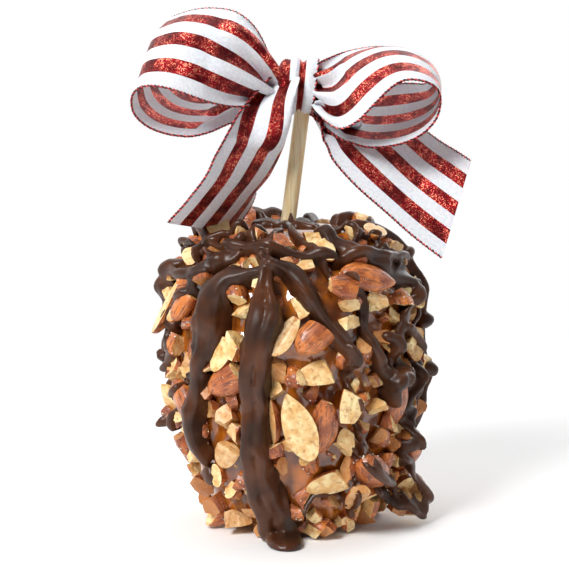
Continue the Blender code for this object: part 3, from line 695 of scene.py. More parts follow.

# %% [markdown]
# ## Chopped almonds
# Most of the coating is almonds chopped with a knife: chunky bits 4 to 10 mm across, with some
# skin left on one side and pale, angular cuts on the others. Random lumps would look like
# gravel. So each bit is cut the way the real one was: a kernel is sliced with two to four
# planes, and each cut is filled and roughened. Twenty-four such bits and twelve smaller
# crumbs are made once, then turned, resized and pressed onto the apple hundreds of times as
# one joined mesh.

# %% Cut a bit from a kernel
def chop(seed, rings, around, longest):
    """One bit: points, faces, finishes, and the directions in which it shows its cut and skin."""
    pick = np.random.default_rng(seed)
    kind = "split" if pick.random() < 0.6 else "whole"
    points, faces, finishes = kernel(kind, 22, (0.0, 1.0), seed=seed, rings=rings, around=around)
    work = bmesh.new()
    made = [work.verts.new(p) for p in points]
    for face, finish in zip(faces, finishes):
        work.faces.new([made[k] for k in face]).material_index = finish
    bmesh.ops.remove_doubles(work, verts=work.verts, dist=0.02)
    start = np.array([pick.uniform(-1.5, 1.5), pick.uniform(-5, 4), 0])
    cuts = [((0.3 * pick.normal(), 1, 0.3 * pick.normal()), pick.uniform(1.8, 4.0)),
            ((0.35 * pick.normal(), -1, 0.35 * pick.normal()), pick.uniform(1.8, 4.0))]
    if pick.random() < 0.75:
        sign = pick.choice((-1, 1))
        cuts.append(((sign, 0.5 * pick.normal(), 0.4 * pick.normal()), pick.uniform(0.6, 3.2)))
    if pick.random() < 0.5:
        cuts.append((tuple(pick.normal(size=3)), pick.uniform(1.6, 2.8)))
    for normal, distance in cuts:
        normal = unit(np.array(normal, float))
        everything = list(work.verts) + list(work.edges) + list(work.faces)
        bmesh.ops.bisect_plane(work, geom=everything, plane_co=start + normal * distance,
                               plane_no=normal, clear_outer=True, dist=0.001)
        rim = [e for e in work.edges if e.is_boundary]
        for face in bmesh.ops.holes_fill(work, edges=rim, sides=0)["faces"]:
            face.material_index = FLESH
    for _ in range(3):
        long = [e for e in work.edges if e.calc_length() > longest]
        if long:
            bmesh.ops.triangulate(work, faces=[f for f in work.faces if len(f.verts) > 4])
            long = [e for e in work.edges if e.calc_length() > longest]
            bmesh.ops.subdivide_edges(work, edges=long, cuts=1)
    bmesh.ops.triangulate(work, faces=work.faces)
    bmesh.ops.recalc_face_normals(work, faces=work.faces)
    if work.calc_volume(signed=True) < 0:
        bmesh.ops.reverse_faces(work, faces=work.faces)
    work.normal_update()
    points = np.array([v.co for v in work.verts])
    normals = np.array([v.normal for v in work.verts])
    rough = 0.45 * wander(points, 1.4, seed) + 0.4 * wander(points, 3.0, seed + 1)
    points = points + normals * rough[:, None]
    work.verts.index_update()
    faces = [[v.index for v in f.verts] for f in work.faces]
    finishes = [f.material_index for f in work.faces]
    leaning = {FLESH: np.zeros(3), SKIN: np.zeros(3)}
    for f in work.faces:
        leaning[f.material_index] += np.array(f.normal) * f.calc_area()
    work.free()
    points = points - (points.min(0) + points.max(0)) / 2
    return points, faces, finishes, unit(leaning[FLESH] + 1e-6), unit(leaning[SKIN] + 1e-6)


BIT_KINDS = 24
CRUMB_KINDS = 12
bits = [chop(100 + k, 11, 14, 1.9) for k in range(BIT_KINDS)]
bits += [chop(300 + k, 6, 8, 9.0) for k in range(CRUMB_KINDS)]
widths = [np.ptp(b[0], axis=0).max() for b in bits]
print("bits are", round(min(widths), 1), "to", round(max(widths), 1), "mm across, with",
      round(np.mean([len(b[1]) for b in bits[:BIT_KINDS]])), "triangles each, and crumbs have",
      round(np.mean([len(b[1]) for b in bits[BIT_KINDS:]])))

# %% [markdown]
# ## Press the bits onto the apple
# The bits at the front lie where the cook's hand put them, so they are listed by direction,
# with their size and the side they show. The rest are strewn at random from a fixed seed: a
# spot is tried, and a bit stays if nothing large is there already and the spot isn't one of
# the windows of bare caramel. The height map grows with each bit, so later ones can lie on
# top of earlier ones without sinking into them.

# %% Press one bit
nuts = HeightMap(np.maximum(bare, cast(np.concatenate(large.points).tolist(), large.faces,
                                       map_ways.reshape(-1, 3)).reshape(bare.shape)))
bare_map = HeightMap(bare)
bit_heap = Heap()
pick = np.random.default_rng(7)


def spots_round(azimuth, elevation, reach):
    """The middle and four spots round it, at a distance of reach in mm."""
    e = np.degrees(reach / 45)
    a = e / max(0.2, math.cos(math.radians(elevation)))
    return (azimuth + np.array([0, a, -a, 0, 0]),
            np.clip(elevation + np.array([0, 0, 0, e, -e]), -89, 89))


def press(azimuth, elevation, width, side, turn, kind, sunk=0.3, proud=0.0):
    """Add a bit that shows its cut or its skin, lying on what is there; True if it stays."""
    points, faces, finishes, facing_cut, facing_skin = bits[kind]
    way = directions(azimuth, elevation)
    shown = facing_cut if side == "cut" else facing_skin
    side_axis = unit(np.cross(shown, (0.31, 0.52, 0.8)))
    own = np.stack([side_axis, unit(np.cross(shown, side_axis)), shown], -1)
    # What it shows leans a little to one side, as nothing lies quite flat.
    lean = unit(way + 0.35 * pick.normal(size=3))
    across = unit(np.cross(lean, (0.02, 0.01, 1.0)))
    upward = unit(np.cross(across, lean))
    t = math.radians(turn)
    spun = across * math.cos(t) + upward * math.sin(t)
    target = np.stack([spun, unit(np.cross(lean, spun)), lean], -1)
    size = width / widths[kind]
    placed = points @ (own @ target.T) * size
    ground_level = nuts.at(*spots_round(azimuth, elevation, width * 0.33)).mean()
    depth = (placed @ way).min()
    placed = placed + CENTRE + way * (ground_level - depth - sunk * width * 0.5 + proud)
    if placed[:, 2].min() < 0.3:
        placed[:, 2] += 0.3 - placed[:, 2].min()
    tone = np.full(len(points), pick.random() ** 1.5)
    grain = (points * size + pick.uniform(0, 400, 3)) * MM
    bit_heap.add(placed, faces, finishes, grain=grain, tone=tone)
    nuts.cover(placed)
    return True


# %% Bits listed one by one at the front
# azimuth, elevation, width in mm, side shown, turn in degrees
FRONT_BITS = [
    (-7, 55, 9.0, "skin", 20), (3, 32, 8.5, "cut", 70), (49, 54, 8.0, "skin", 100),
    (57, 47, 6.5, "cut", 30), (40, 32, 8.0, "cut", 160), (24, 31, 8.5, "skin", 60),
    (25, 25, 8.5, "cut", 130), (-22, 30, 8.0, "cut", 40), (-27, 35, 8.5, "skin", 75),
    (43, 18, 7.5, "cut", 15), (63, 13, 7.5, "cut", 95), (41, 8, 7.0, "cut", 140),
    (34, 13, 8.5, "cut", 60), (1, 3, 8.5, "skin", 10), (-7, 6, 10.0, "cut", 120),
    (-25, 15, 9.5, "cut", 80), (33, -10, 8.5, "cut", 35), (42, -14, 8.0, "cut", 0),
    (80, -47, 9.5, "cut", 60), (-67, 45, 8.5, "cut", 150), (-76, 0, 9.0, "cut", 20),
    (-1, -29, 8.5, "skin", 90), (-32, -17, 8.5, "cut", 45), (22, -52, 8.0, "cut", 75),
    (12, -56, 7.5, "skin", 10), (6, -50, 8.5, "cut", 110), (38, -55, 8.0, "cut", 25),
    (-29, -9, 8.5, "skin", 130), (-56, 50, 7.5, "skin", 60), (-39, 55, 8.0, "skin", 10),
    (58, -30, 8.5, "cut", 145), (66, -18, 7.5, "skin", 5), (52, -22, 7.5, "cut", 80),
    (47, 0, 6.5, "cut", 25), (58, 2, 8.5, "skin", 115), (74, 0, 8.0, "cut", 60),
    (8, -36, 8.0, "skin", 35), (-26, -44, 8.5, "skin", 20), (-44, -44, 8.5, "cut", 95),
    (28, -37, 8.5, "skin", 50), (46, -50, 9.0, "cut", 130), (60, -46, 8.5, "skin", 75),
    (-66, 12, 8.5, "skin", 30), (-64, -2, 7.5, "cut", 70), (-88, 30, 8.0, "cut", 15),
    (36, 48, 7.5, "skin", 45), (14, 60, 8.0, "cut", 90), (-27, 48, 7.5, "skin", 120),
    (-30, 44, 6.5, "cut", 30), (-64, -39, 8.5, "cut", 30), (70, -48, 9.0, "cut", 100),
    (88, -44, 9.0, "skin", 10), (-90, 6, 8.5, "cut", 0), (90, 22, 8.5, "skin", 40),
    (48, 60, 8.0, "cut", 10), (26, 62, 7.0, "skin", 70), (-48, 62, 7.5, "cut", 110),
    (80, -48, 11.0, "cut", 35), (76, -50, 11.0, "skin", 80), (86, -46, 10.0, "cut", 120),
    (80, -49, 10.5, "cut", 60), (70, -51, 10.0, "cut", 15), (-66, 24, 7.0, "skin", 20),
    (14, -60, 9.0, "cut", 40), (4, -61, 8.0, "skin", 100), (20, -60, 8.0, "cut", 150),
]
for azimuth, elevation, width, side, turn in FRONT_BITS:
    press(azimuth, elevation, width, side, turn, pick.integers(BIT_KINDS))

# %% Bits and crumbs strewn all round
# windows of bare caramel: azimuth, elevation, half width in degrees
WINDOWS = [
    (-26, 24, 10), (-27, 12, 6), (3, 29, 8), (-23, 38, 6), (-4, 38, 6), (21, 43, 6), (16, 14, 5),
    (23, 0, 6), (27, 27, 6), (-35, -27, 6), (24, -20, 8), (-1, -44, 8), (-20, 0, 4), (-25, -28, 5),
    (12, -33, 6), (52, 30, 6), (-31, -8, 4),
]
STREWN = 2600  # spots that are tried for bits
BIT_SIZES = (6.0, 12.5)
CRUMBS = 1500  # spots that are tried for crumbs
CRUMB_SIZES = (1.3, 3.2)


def strew(tries, sizes, highest, kinds, limit):
    """Try random spots; a bit stays where nothing is too high yet, up to the limit."""
    kept = 0
    for _ in range(tries):
        azimuth = pick.uniform(-180, 180)
        elevation = math.degrees(math.asin(pick.uniform(-0.97, 0.88)))
        width = sizes[0] + (sizes[1] - sizes[0]) * pick.random() ** 1.3
        side = "cut" if pick.random() < 0.52 else "skin"
        turn = pick.uniform(0, 360)
        kind = kinds[pick.integers(len(kinds))]
        way = directions(azimuth, elevation)
        in_window = any(way @ directions(a, e) > math.cos(math.radians(r)) for a, e, r in WINDOWS)
        if kept >= limit or (in_window and pick.random() < 0.97):
            continue
        round_it = spots_round(azimuth, elevation, width * 0.3)
        rise = (nuts.at(*round_it) - bare_map.at(*round_it)).max()
        if elevation < -26 and -125 < azimuth < -22:
            share = 0.4
        elif elevation < -25:
            share = 1.5
        else:
            share = 0.45 if elevation > 52 else 1
        if rise > highest * share:
            continue
        kept += press(azimuth, elevation, width, side, turn, kind)
    return kept


bit_count = strew(STREWN, BIT_SIZES, 3.2, range(BIT_KINDS), 360)
crumb_count = strew(CRUMBS, CRUMB_SIZES, 1.6, range(BIT_KINDS, BIT_KINDS + CRUMB_KINDS), 420)
chopped = bit_heap.piece("chopped_almonds", [flesh, skin], sharp=38)
print(len(FRONT_BITS) + bit_count, "bits and", crumb_count, "crumbs lie on the apple")

# %% [markdown]
# ## Salt and sugar crystals
# Roasted almond skins sparkle with coarse salt and sugar. At this size a crystal is a third of
# a millimetre, so it is a real shape and not only a speck of colour: a tiny irregular cube
# stuck to the outward side of the skins.

# %% Strew crystals on the skins
CRYSTALS = 1500
CRYSTAL_SIZE = (0.22, 0.5)

cube = np.array([(x, y, z) for z in (-1, 1) for y in (-1, 1) for x in (-1, 1)], float)
cube_faces = [(0, 2, 3, 1), (4, 5, 7, 6), (0, 1, 5, 4), (2, 6, 7, 3), (0, 4, 6, 2), (1, 3, 7, 5)]
crystals = Heap()
for heap, number in ((heaps["whole"], CRYSTALS // 2), (bit_heap, CRYSTALS // 2)):
    points = np.concatenate(heap.points)
    skins = [f for f, finish in zip(heap.faces, heap.finish) if finish == SKIN]
    three = np.array([f[:3] for f in skins])
    a, b, c = (points[three[:, k]] for k in range(3))
    normals = np.cross(b - a, c - a)
    areas = np.linalg.norm(normals, axis=1)
    outward = unit(a - CENTRE)
    open_side = (unit(normals) * outward).sum(1) > 0.25
    share = np.where(open_side, areas, 0)
    for k in pick.choice(len(skins), number, p=share / share.sum()):
        u, v = sorted(pick.random(2))
        spot = a[k] * u + b[k] * (v - u) + c[k] * (1 - v)
        turned = cube @ np.linalg.qr(pick.normal(size=(3, 3)))[0]
        sizes = pick.uniform(*CRYSTAL_SIZE) * 0.5
        crystals.add(turned * sizes * pick.uniform(0.7, 1.2, (8, 1)) + spot, cube_faces)

sugar = Finish("sugar", Base_Color=colour(255, 246, 228), Roughness=0.18)
sugar.fill(sugar.shader, {"Subsurface Weight": 0.4, "Subsurface Scale": 0.5 * MM,
                          "Normal": sugar.bump(sugar.noise(0.2), 0.05, 0.5)})
crystal_piece = crystals.piece("sugar_crystals", [sugar.material])

# %% [markdown]
# ## Caramel
# The caramel is a soft amber glaze: glossy, a little see-through, deeper in colour where it is
# thick. It creeps up the sides of every nut pressed into it. One way is to pour it by a
# fluid simulation, which would take an hour. The quick way used here starts from the bare
# apple in the height map and lifts the surface wherever nuts are close, by a softened copy of
# their heights. The rise makes the fillets, and soft random waves give the uneven gleam.

# %% Caramel finish
def caramel_finish():
    finish = Finish("caramel", Roughness=0.1)
    broad = finish.noise(9.0, 2.0)
    streak = finish.noise(3.5, 2.0, (1, 1, 0.35))
    deep = finish.mix(finish.ramp(broad, 0.32, 0.66), colour(184, 104, 26), colour(122, 60, 14))
    toned = finish.mix(finish.ramp(streak, 0.42, 0.68, 0.0, 0.75), deep, colour(78, 34, 10))
    relief = finish.bump(finish.noise(3.0, 1.0), 0.25, 0.35)
    finish.fill(finish.shader, {"Subsurface Weight": 0.3, "Subsurface Scale": 1.6 * MM,
                                "Subsurface Radius": (1.0, 0.42, 0.08),
                                "Coat Weight": 1.0, "Coat Roughness": 0.09, "IOR": 1.48})
    return finish.set(Base_Color=toned, Normal=relief,
                      Roughness=finish.ramp(streak, 0.3, 0.7, 0.07, 0.22))


caramel = caramel_finish()

# %% Caramel shell
CREEP = 1.5  # the most that it climbs between nuts, in mm
SHELL_ROWS = 3  # steps of the map between two points of the shell

rise = np.maximum(nuts.values - bare, 0)
near = blur(blur(np.minimum(rise, 5), 4.0, 0), 4.0, 1, wrap=True)
waves = 0.5 * wander(map_ways * 45, 13.0, 2) + 0.25 * wander(map_ways * 45, 5.0, 3)
level = bare + np.minimum(near * 0.45, CREEP) + waves * np.clip((map_elevation + 75) / 15, 0, 1)
# The foot stays flat on the floor.
below = np.where(map_elevation < -50, CENTRE[2] / np.maximum(-map_ways[..., 2], 0.2), 1e9)
level = np.minimum(level, below - 0.15)
caramel_map = HeightMap(level)

rows = np.arange(1, UPRIGHT, SHELL_ROWS)
shell = (map_ways * level[..., None])[rows][:, ::SHELL_ROWS] + CENTRE
columns = shell.shape[1]
shell_points = np.concatenate([shell.reshape(-1, 3), [CENTRE - (0, 0, level[0, 0])],
                               [CENTRE + (0, 0, level[-1, 0])]])
shell_faces = quads(len(rows), columns, closed=True)
first, last = len(shell_points) - 2, (len(rows) - 1) * columns
for j in range(columns):
    k = (j + 1) % columns
    shell_faces.append([first, k, j])
    shell_faces.append([first + 1, last + j, last + k])
shell_heap = Heap()
shell_heap.add(shell_points, shell_faces)
caramel_piece = shell_heap.piece("caramel_coat", [caramel])
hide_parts("caramel_apple_body")

# %% [markdown]
# ## Dark chocolate
# Warm chocolate falls from a spoon in thick strands. It bridges from nut to nut, has steep
# rounded edges, swells where it slowed down, and ends in a bead. Later strands lie on
# earlier ones. Each strand is a slab along a smooth line: its underside goes down into
# the nuts, and its top is a softened copy of the height map plus its own thickness. After each
# strand the map is raised, so that the next one passes over it. At the end all the slabs
# melt into one skin with a voxel remesh, which leaves the small valleys where strands meet.

# %% Chocolate finish
def chocolate_finish():
    finish = Finish("chocolate", Roughness=0.4)
    broad = finish.noise(12.0, 2.0)
    fine = finish.noise(1.6, 3.0, (1, 1, 0.5))
    shade = finish.mix(finish.ramp(broad, 0.3, 0.7), colour(84, 46, 25), colour(48, 26, 14))
    # A lighter brown is mixed in, up to a fifth, on the high spots of fine noise: a painted highlight.
    toned = finish.mix(finish.ramp(fine, 0.5, 0.8, 0.0, 0.2), shade, colour(98, 60, 38))
    relief = finish.bump(fine, 0.06, 0.25)
    finish.fill(finish.shader, {"IOR": 1.4, "Subsurface Weight": 0.06,
                                "Subsurface Scale": 1.0 * MM,
                                "Subsurface Radius": (1.0, 0.4, 0.2)})
    return finish.set(Base_Color=toned, Normal=relief,
                      Roughness=finish.ramp(broad, 0.3, 0.7, 0.28, 0.42))


chocolate = chocolate_finish()

# %% Strands
GRAIN = 0.55  # spacing of the points of a strand, in mm
SUNK = 1.0  # how far a strand's underside reaches into what it lies on

surface = HeightMap(np.maximum(nuts.values, level))
chocolate_heap = Heap()


def strand(stops, thick=2.6, seed=0, bead=1.3, aside=0.0, share=1.0, wobble=0.09, bridging=3.0):
    """Pour a strand through stops of azimuth, elevation and width in mm."""
    line = through(stops, 14)
    ways = directions(line[:, 0], line[:, 1])
    radius = surface.at(line[:, 0], line[:, 1])
    route = ways * radius[:, None]
    lengths = np.concatenate([[0], np.cumsum(np.linalg.norm(np.diff(route, axis=0), axis=1))])
    count = max(6, int(lengths[-1] / GRAIN))
    even = np.linspace(0, lengths[-1], count)
    ways = unit(np.stack([np.interp(even, lengths, ways[:, k]) for k in range(3)], -1))
    half = np.interp(even, lengths, line[:, 2]) / 2
    reach = blur(np.interp(even, lengths, radius), 6.0, 0) + 8
    onward = unit(np.gradient(ways, axis=0))
    side = unit(np.cross(onward, ways))
    middle = half * (aside + 0.16 * line_wander(even, 7.0, seed + 5) * (share < 1))
    half = half * share * (1 + wobble * line_wander(even, 5.0, seed + 1))
    end = np.minimum(even, even[-1] - even)
    half = half * np.sqrt(np.clip((end + 0.3) / 2.6, 0.05, 1))
    columns = max(9, int(2 * half.max() / GRAIN) | 1)
    u = np.linspace(-1, 1, columns)
    ragged = 0.3 * wander(np.stack(np.meshgrid(even, u * 4, indexing="ij"), -1), 2.6, seed + 2)
    spread = (middle[:, None] + half[:, None] * u[None, :] + ragged * np.abs(u)) / reach[:, None]
    rays = unit(ways[:, None, :] + side[:, None, :] * spread[..., None])
    azimuth, elevation, _ = angles_of(rays)
    lies = surface.at(azimuth, elevation)
    bridged = highest_near(lies, 2, 0)
    bridged = blur(blur(bridged, bridging, 0), 1.4, 1)
    level_across = blur(bridged.mean(1, keepdims=True), 3.0, 0)
    inside = np.clip(1 - u[None, :] ** 4, 0, 1)
    base = bridged + 0.5 * inside * (level_across - bridged)
    profile = np.clip(1 - np.abs(u) ** 2.4, 0, 1) ** 0.5
    swell = 1 + 0.16 * line_wander(even, 8.0, seed + 3)
    swell = swell * np.where(even[-1] - even < 3.0, bead, 1.0)
    swell = blur(swell, 2.0, 0) * np.sqrt(np.clip((end + 0.5) / 2.2, 0.1, 1))
    fuller = (half / half.mean()) ** 0.6  # a wide strand is a thick one
    top = base + thick * (swell * fuller)[:, None] * profile[None, :]
    top = top + 0.07 * wander(np.stack(np.meshgrid(even, u * half.max(), indexing="ij"), -1), 2.2,
                              seed + 4) * profile
    under = np.minimum(lies - SUNK, top - 1.4)
    outer = CENTRE + rays * top[..., None]
    inner = CENTRE + rays * under[..., None]
    low = 0.15 - np.minimum(inner[..., 2], outer[..., 2]).min()
    if low > 0:
        inner[..., 2] = np.maximum(inner[..., 2], 0.15)
        outer[..., 2] = np.maximum(outer[..., 2], 0.3)
    chocolate_heap.add(*slab(inner, outer))
    surface.cover(outer)


def ridged(stops, thick, seed, ridges, extra=1.3):
    """A broad strand with narrower ones that ran down on top of it."""
    strand(stops, thick, seed, bridging=6.0)
    for number, (aside, share) in enumerate(ridges):
        strand(stops, extra, seed + 20 * (number + 1), aside=aside, share=share, bridging=6.0)


# %% [markdown]
# ## Where the strands run
# The routes are chosen in the directions round the apple that the model's own strands
# have. The broad one down the front has three ridges and ends on the floor as a tongue.
# Between the broad strands a few thin ones run, from a last shake of the spoon.

# %% Broad strands at the front
strand([(21, 66, 6), (24, 59, 6.5), (30, 53, 8), (40, 50, 10), (50, 46, 11), (62, 41, 9),
        (76, 36, 8), (76, 31, 7), (64, 26, 5), (55, 20, 5), (52, 12, 5), (55, 4, 5),
        (58, -6, 4)], 2.6, 4)
strand([(-31, 61, 4), (-34, 55, 4), (-39, 50, 4.5), (-46, 46, 4.5), (-57, 41, 4.5), (-70, 38, 4.5),
        (-84, 37, 5), (-90, 30, 6), (-92, 22, 6), (-90, 13, 5), (-86, 4, 4)], 2.4, 6)
strand([(-28, 54, 4), (-34, 48, 4.5), (-42, 44, 4.5), (-52, 38, 4.5), (-60, 32, 4), (-67, 29, 3.5),
        (-75, 21, 4), (-70, 14, 5.5), (-78, 6, 4.5), (-88, -4, 4)], 2.4, 7)
ridged([(-12, 42.5, 5), (-17, 42, 5.5), (-24, 41, 7), (-32, 39, 10), (-38, 32, 14), (-39, 22, 13.5),
        (-42, 13, 11.5), (-45, 5, 10.5), (-47, -3, 9), (-48, -12, 8), (-50, -22, 8), (-52, -31, 7.5),
        (-51, -40, 5)], 3.6, 2, [(-0.25, 0.6)], 1.0)
ridged([(-12, 66, 4.5), (-15, 55, 4.5), (-14, 48, 4.5), (-12, 42, 5), (-12, 36, 7), (-12.5, 27, 15),
        (-15, 18, 13.5), (-16, 7, 12.5), (-17, -8, 11.5), (-17, -21, 11.5), (-17, -31, 12), (-15.5, -42, 12.5),
        (-13, -50, 14), (-9.5, -57, 15), (-8, -64, 14)], 3.0, 1, [(-0.5, 0.42), (0.42, 0.5)], 2.2)
ridged([(-12, 42.5, 5), (-7, 43.5, 5.5), (-2, 43, 7), (2.5, 39, 8.5), (7, 34, 8), (13, 27, 6),
        (20, 19, 7), (24, 12, 6), (27, 7, 5)], 3.2, 3, [(0.25, 0.5)], 1.0)
strand([(24, 37, 2.5), (29, 36, 3.5), (32, 33, 4), (34, 28, 4), (34, 22, 4.5), (38, 14, 5.5), (41, 7, 5.5),
        (47, -2, 4.5), (50, -12, 4)], 2.2, 5)
strand([(66, 4, 5), (64, -10, 5), (68, -22, 5.5), (62, -32, 5), (72, -42, 6)], 2.4, 8)

# %% Broad strands at the back
ridged([(90, 68, 7), (98, 48, 7), (94, 26, 6.5), (98, 4, 6), (94, -14, 6), (98, -34, 7)],
       2.2, 9, [(0.3, 0.5)])
ridged([(130, 69, 7), (136, 50, 8), (138, 26, 7.5), (134, 2, 8), (136, -20, 7), (132, -42, 9)],
       2.4, 10, [(-0.4, 0.45), (0.4, 0.4)])
ridged([(168, 69, 7), (166, 48, 7), (168, 24, 7), (164, 0, 6.5), (166, -26, 8)],
       2.2, 11, [(0.2, 0.5)])
ridged([(-150, 69, 7), (-158, 48, 8), (-166, 24, 7), (-164, 0, 7), (-164, -30, 8)],
       2.2, 12, [(-0.3, 0.5)])
ridged([(-120, 60, 7), (-124, 50, 7), (-130, 28, 7), (-130, 2, 6), (-130, -22, 7), (-134, -44, 8)],
       2.2, 13, [(0.35, 0.45)])

# %% Thin strands
THIN = [
    [(22, 9, 2.6), (24, 2, 2.4), (27, -7, 2.4), (29, -15, 2.2), (32, -25, 2.4), (41, -35, 2.6),
     (62, -46, 2.4)],
    [(44, 19, 4.5), (51, 13, 4.5), (48, 3, 4), (47, -7, 4), (50, -14, 3)],
    [(-47, 2, 2.7), (-61, -8, 2.7), (-74, -18, 2.4), (-84, -30, 3)],
    [(-25, 66, 3.4), (-28, 59, 3.4), (-21, 51, 3.2), (-13, 44, 3)],
    [(-4, 74, 3.6), (2, 62, 3.6), (7, 56, 3.2), (13, 51, 3), (17, 45, 2.4), (26, 36, 2.2)],
    [(78, 36, 5), (82, 26, 4.6), (74, 12, 4.2), (80, -4, 4), (84, -20, 4)],
    [(30, 70, 3), (42, 66, 2.8), (50, 62, 2.4), (45, 57, 2.2)],
    [(38, 55, 2.4), (52, 58, 2.6), (62, 55, 2.6), (60, 47, 2.6)],
    [(56, 50, 2.4), (68, 51, 2.6), (68, 45, 2.6), (60, 41, 2.6)],
    [(-46, 47, 2.6), (-62, 50, 2.8), (-80, 49, 2.8), (-94, 42, 3), (-96, 34, 3)],
    [(56, 20, 3.5), (66, 14, 3.5), (72, 2, 3), (62, -16, 3), (66, -30, 3)],
    [(-70, 50, 6), (-84, 38, 5), (-96, 22, 4.5), (-104, 0, 4), (-100, -22, 4)],
    [(112, 60, 5), (118, 30, 4), (112, 6, 3.5), (120, -22, 4)],
    [(150, 60, 4), (148, 36, 3.5), (154, 8, 3.5), (148, -16, 3), (152, -38, 4)],
    [(-178, 62, 4), (180, 34, 3.5), (184, 12, 3.2), (180, -16, 3.4)],
    [(-140, 62, 4), (-144, 34, 4), (-150, 10, 3.5), (-146, -20, 3.5), (-150, -46, 4)],
    [(-92, 60, 5), (-110, 40, 4), (-114, 14, 4), (-110, -14, 3.5), (-116, -40, 4)],
    [(84, -44, 4), (60, -50, 3), (44, -44, 2.6)],
    [(27, -28, 2.6), (38, -35, 3), (52, -41, 3.2), (66, -47, 3.5), (80, -49, 3)],
    [(60, -34, 3.5), (72, -38, 4), (84, -46, 4), (88, -54, 4)],
    [(5, -50, 1.4), (16, -47, 1.5), (30, -50, 1.4)],
    [(30, -40, 2.2), (33, -48, 2.4), (34, -56, 2)],
    [(-44, 66, 3), (-56, 60, 3), (-66, 52, 3), (-58, 44, 2.6)],
    [(22, 16, 3.2), (27, 9, 3.6), (25, 3, 3)],
    [(78, 16, 4), (70, 4, 3.5), (72, -14, 4), (64, -22, 3.5)],
    [(44, -3, 4), (50, -1, 7), (55, -3, 6)],
]
for number, stops in enumerate(THIN):
    strand(stops, 1.3 + 0.15 * stops[0][2], 40 + number, bridging=1.8)

# %% Beads that stick out, each a nut wholly coated
BEADS = [
    # azimuth, elevation, length outwards, width
    (-92, 2, 9.0, 6.0), (-88, -25, 8.5, 4.5), (92, 17, 9.0, 6.0), (90, -3, 7.0, 6.0),
    (-52, -46, 7.0, 9.0), (150, 14, 7.0, 6.0), (-134, -32, 7.0, 7.0),
]


def bead(azimuth, elevation, tall, wide, seed):
    rows, columns = 14, 20
    v = np.linspace(0.02, np.pi - 0.02, rows)[:, None]
    a = np.linspace(0, 2 * np.pi, columns, endpoint=False)[None, :]
    ball = np.stack([np.sin(v) * np.cos(a), np.sin(v) * np.sin(a), np.cos(v) + 0 * a], -1)
    ball = ball * (1 + 0.2 * wander(ball * 3, 2.0, seed)[..., None])
    axes = turned_frame(directions(azimuth, elevation), 0, 0)
    placed = (ball * np.array([wide, wide, tall]) / 2) @ axes.T
    way = directions(azimuth, elevation)
    placed = placed + CENTRE + way * surface.at(azimuth, elevation)
    flat = np.concatenate([placed.reshape(-1, 3), placed[:1].mean(1), placed[-1:].mean(1)])
    faces = [f[::-1] for f in quads(rows, columns, closed=True)]
    for j in range(columns):
        k = (j + 1) % columns
        faces.append([rows * columns, j, k])
        faces.append([rows * columns + 1, (rows - 1) * columns + k, (rows - 1) * columns + j])
    flat[:, 2] = np.maximum(flat[:, 2], 0.3)
    chocolate_heap.add(flat, faces)


for number, (azimuth, elevation, tall, wide) in enumerate(BEADS):
    bead(azimuth, elevation, tall, wide, number)

# %% [markdown]
# ## The pool round the stick and the tongue on the floor
# Where the strands start, chocolate pools round the stick and is drawn up its side in a
# point. At the foot the broad front strand has run out over the floor. Both are slabs as the
# strands are, but the first is laid out in rings and the second on the flat.

# %% Pool round the stick
stick_low, stick_high = (np.array(v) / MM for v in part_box("stick"))
STICK_RADIUS = 2.75
stick_lean = math.atan2((stick_high - stick_low)[0] - 2 * STICK_RADIUS,
                        (stick_high - stick_low)[2])
stick_way = np.array([math.sin(stick_lean), 0, math.cos(stick_lean)])
stick_foot = np.array([stick_low[0] + STICK_RADIUS, (stick_low[1] + stick_high[1]) / 2,
                       stick_low[2]])
POOL_REACH = 12.0


def stick_middle(height):
    return stick_foot + stick_way * (height - stick_foot[2]) / stick_way[2]


def pool():
    rings, around = 34, 120
    a = np.linspace(0, 2 * np.pi, around, endpoint=False)
    middle = stick_middle(108)
    arms = 1 + 0.22 * np.cos(7 * a + 0.8) + 0.14 * np.cos(4 * a + 2.0)
    t = np.linspace(0, 1, rings)[:, None]
    reach = 2.0 + (POOL_REACH * arms[None, :] - 2.0) * t
    x = middle[0] + reach * np.sin(a)
    y = middle[1] - reach * np.cos(a)
    toward = unit(np.stack([x, y, np.full_like(x, 112.0)], -1) - CENTRE)
    azimuth, elevation, _ = angles_of(toward)
    lies = surface.at(azimuth, elevation)
    soft = blur(blur(highest_near(lies, 2, 0), 2.0, 0), 2.5, 1, wrap=True)
    thick = 2.6 + 1.4 * np.exp(-(reach - 2.75) / 4)
    # Folds run outwards, and the front is drawn up the stick in a point.
    thick = thick * (1 + 0.22 * np.cos(9 * a + 1.0) * np.clip(t * 2, 0, 1))
    point = np.exp(-((np.angle(np.exp(1j * (a - 0.25)))) / 0.45) ** 2)
    thick = thick + 6.5 * point * np.exp(-((reach - 2.6) / 1.5) ** 2)
    other = np.exp(-((np.angle(np.exp(1j * (a + 2.2)))) / 0.7) ** 2)
    thick = thick + 2.5 * other * np.exp(-((reach - 2.6) / 2.0) ** 2)
    edge = np.clip(1 - t ** 5, 0, 1) ** 0.5
    waves = 0.35 * wander(np.stack([x, y], -1), 4.0, 6)
    top = soft + (thick + waves) * edge
    under = np.minimum(lies - SUNK, top - 1.4)
    outer = CENTRE + toward * top[..., None]
    inner = CENTRE + toward * under[..., None]
    flat = np.concatenate([inner.reshape(-1, 3), outer.reshape(-1, 3)])
    shift = rings * around
    ring_faces = quads(rings, around, closed=True)
    faces = [f for f in ring_faces] + [[k + shift for k in f[::-1]] for f in ring_faces]
    last = (rings - 1) * around
    for j in range(around):
        k = (j + 1) % around
        faces.append([k, j, j + shift, k + shift])
        faces.append([last + j, last + k, last + k + shift, last + j + shift])
    chocolate_heap.add(flat, faces)
    surface.cover(outer)


pool()


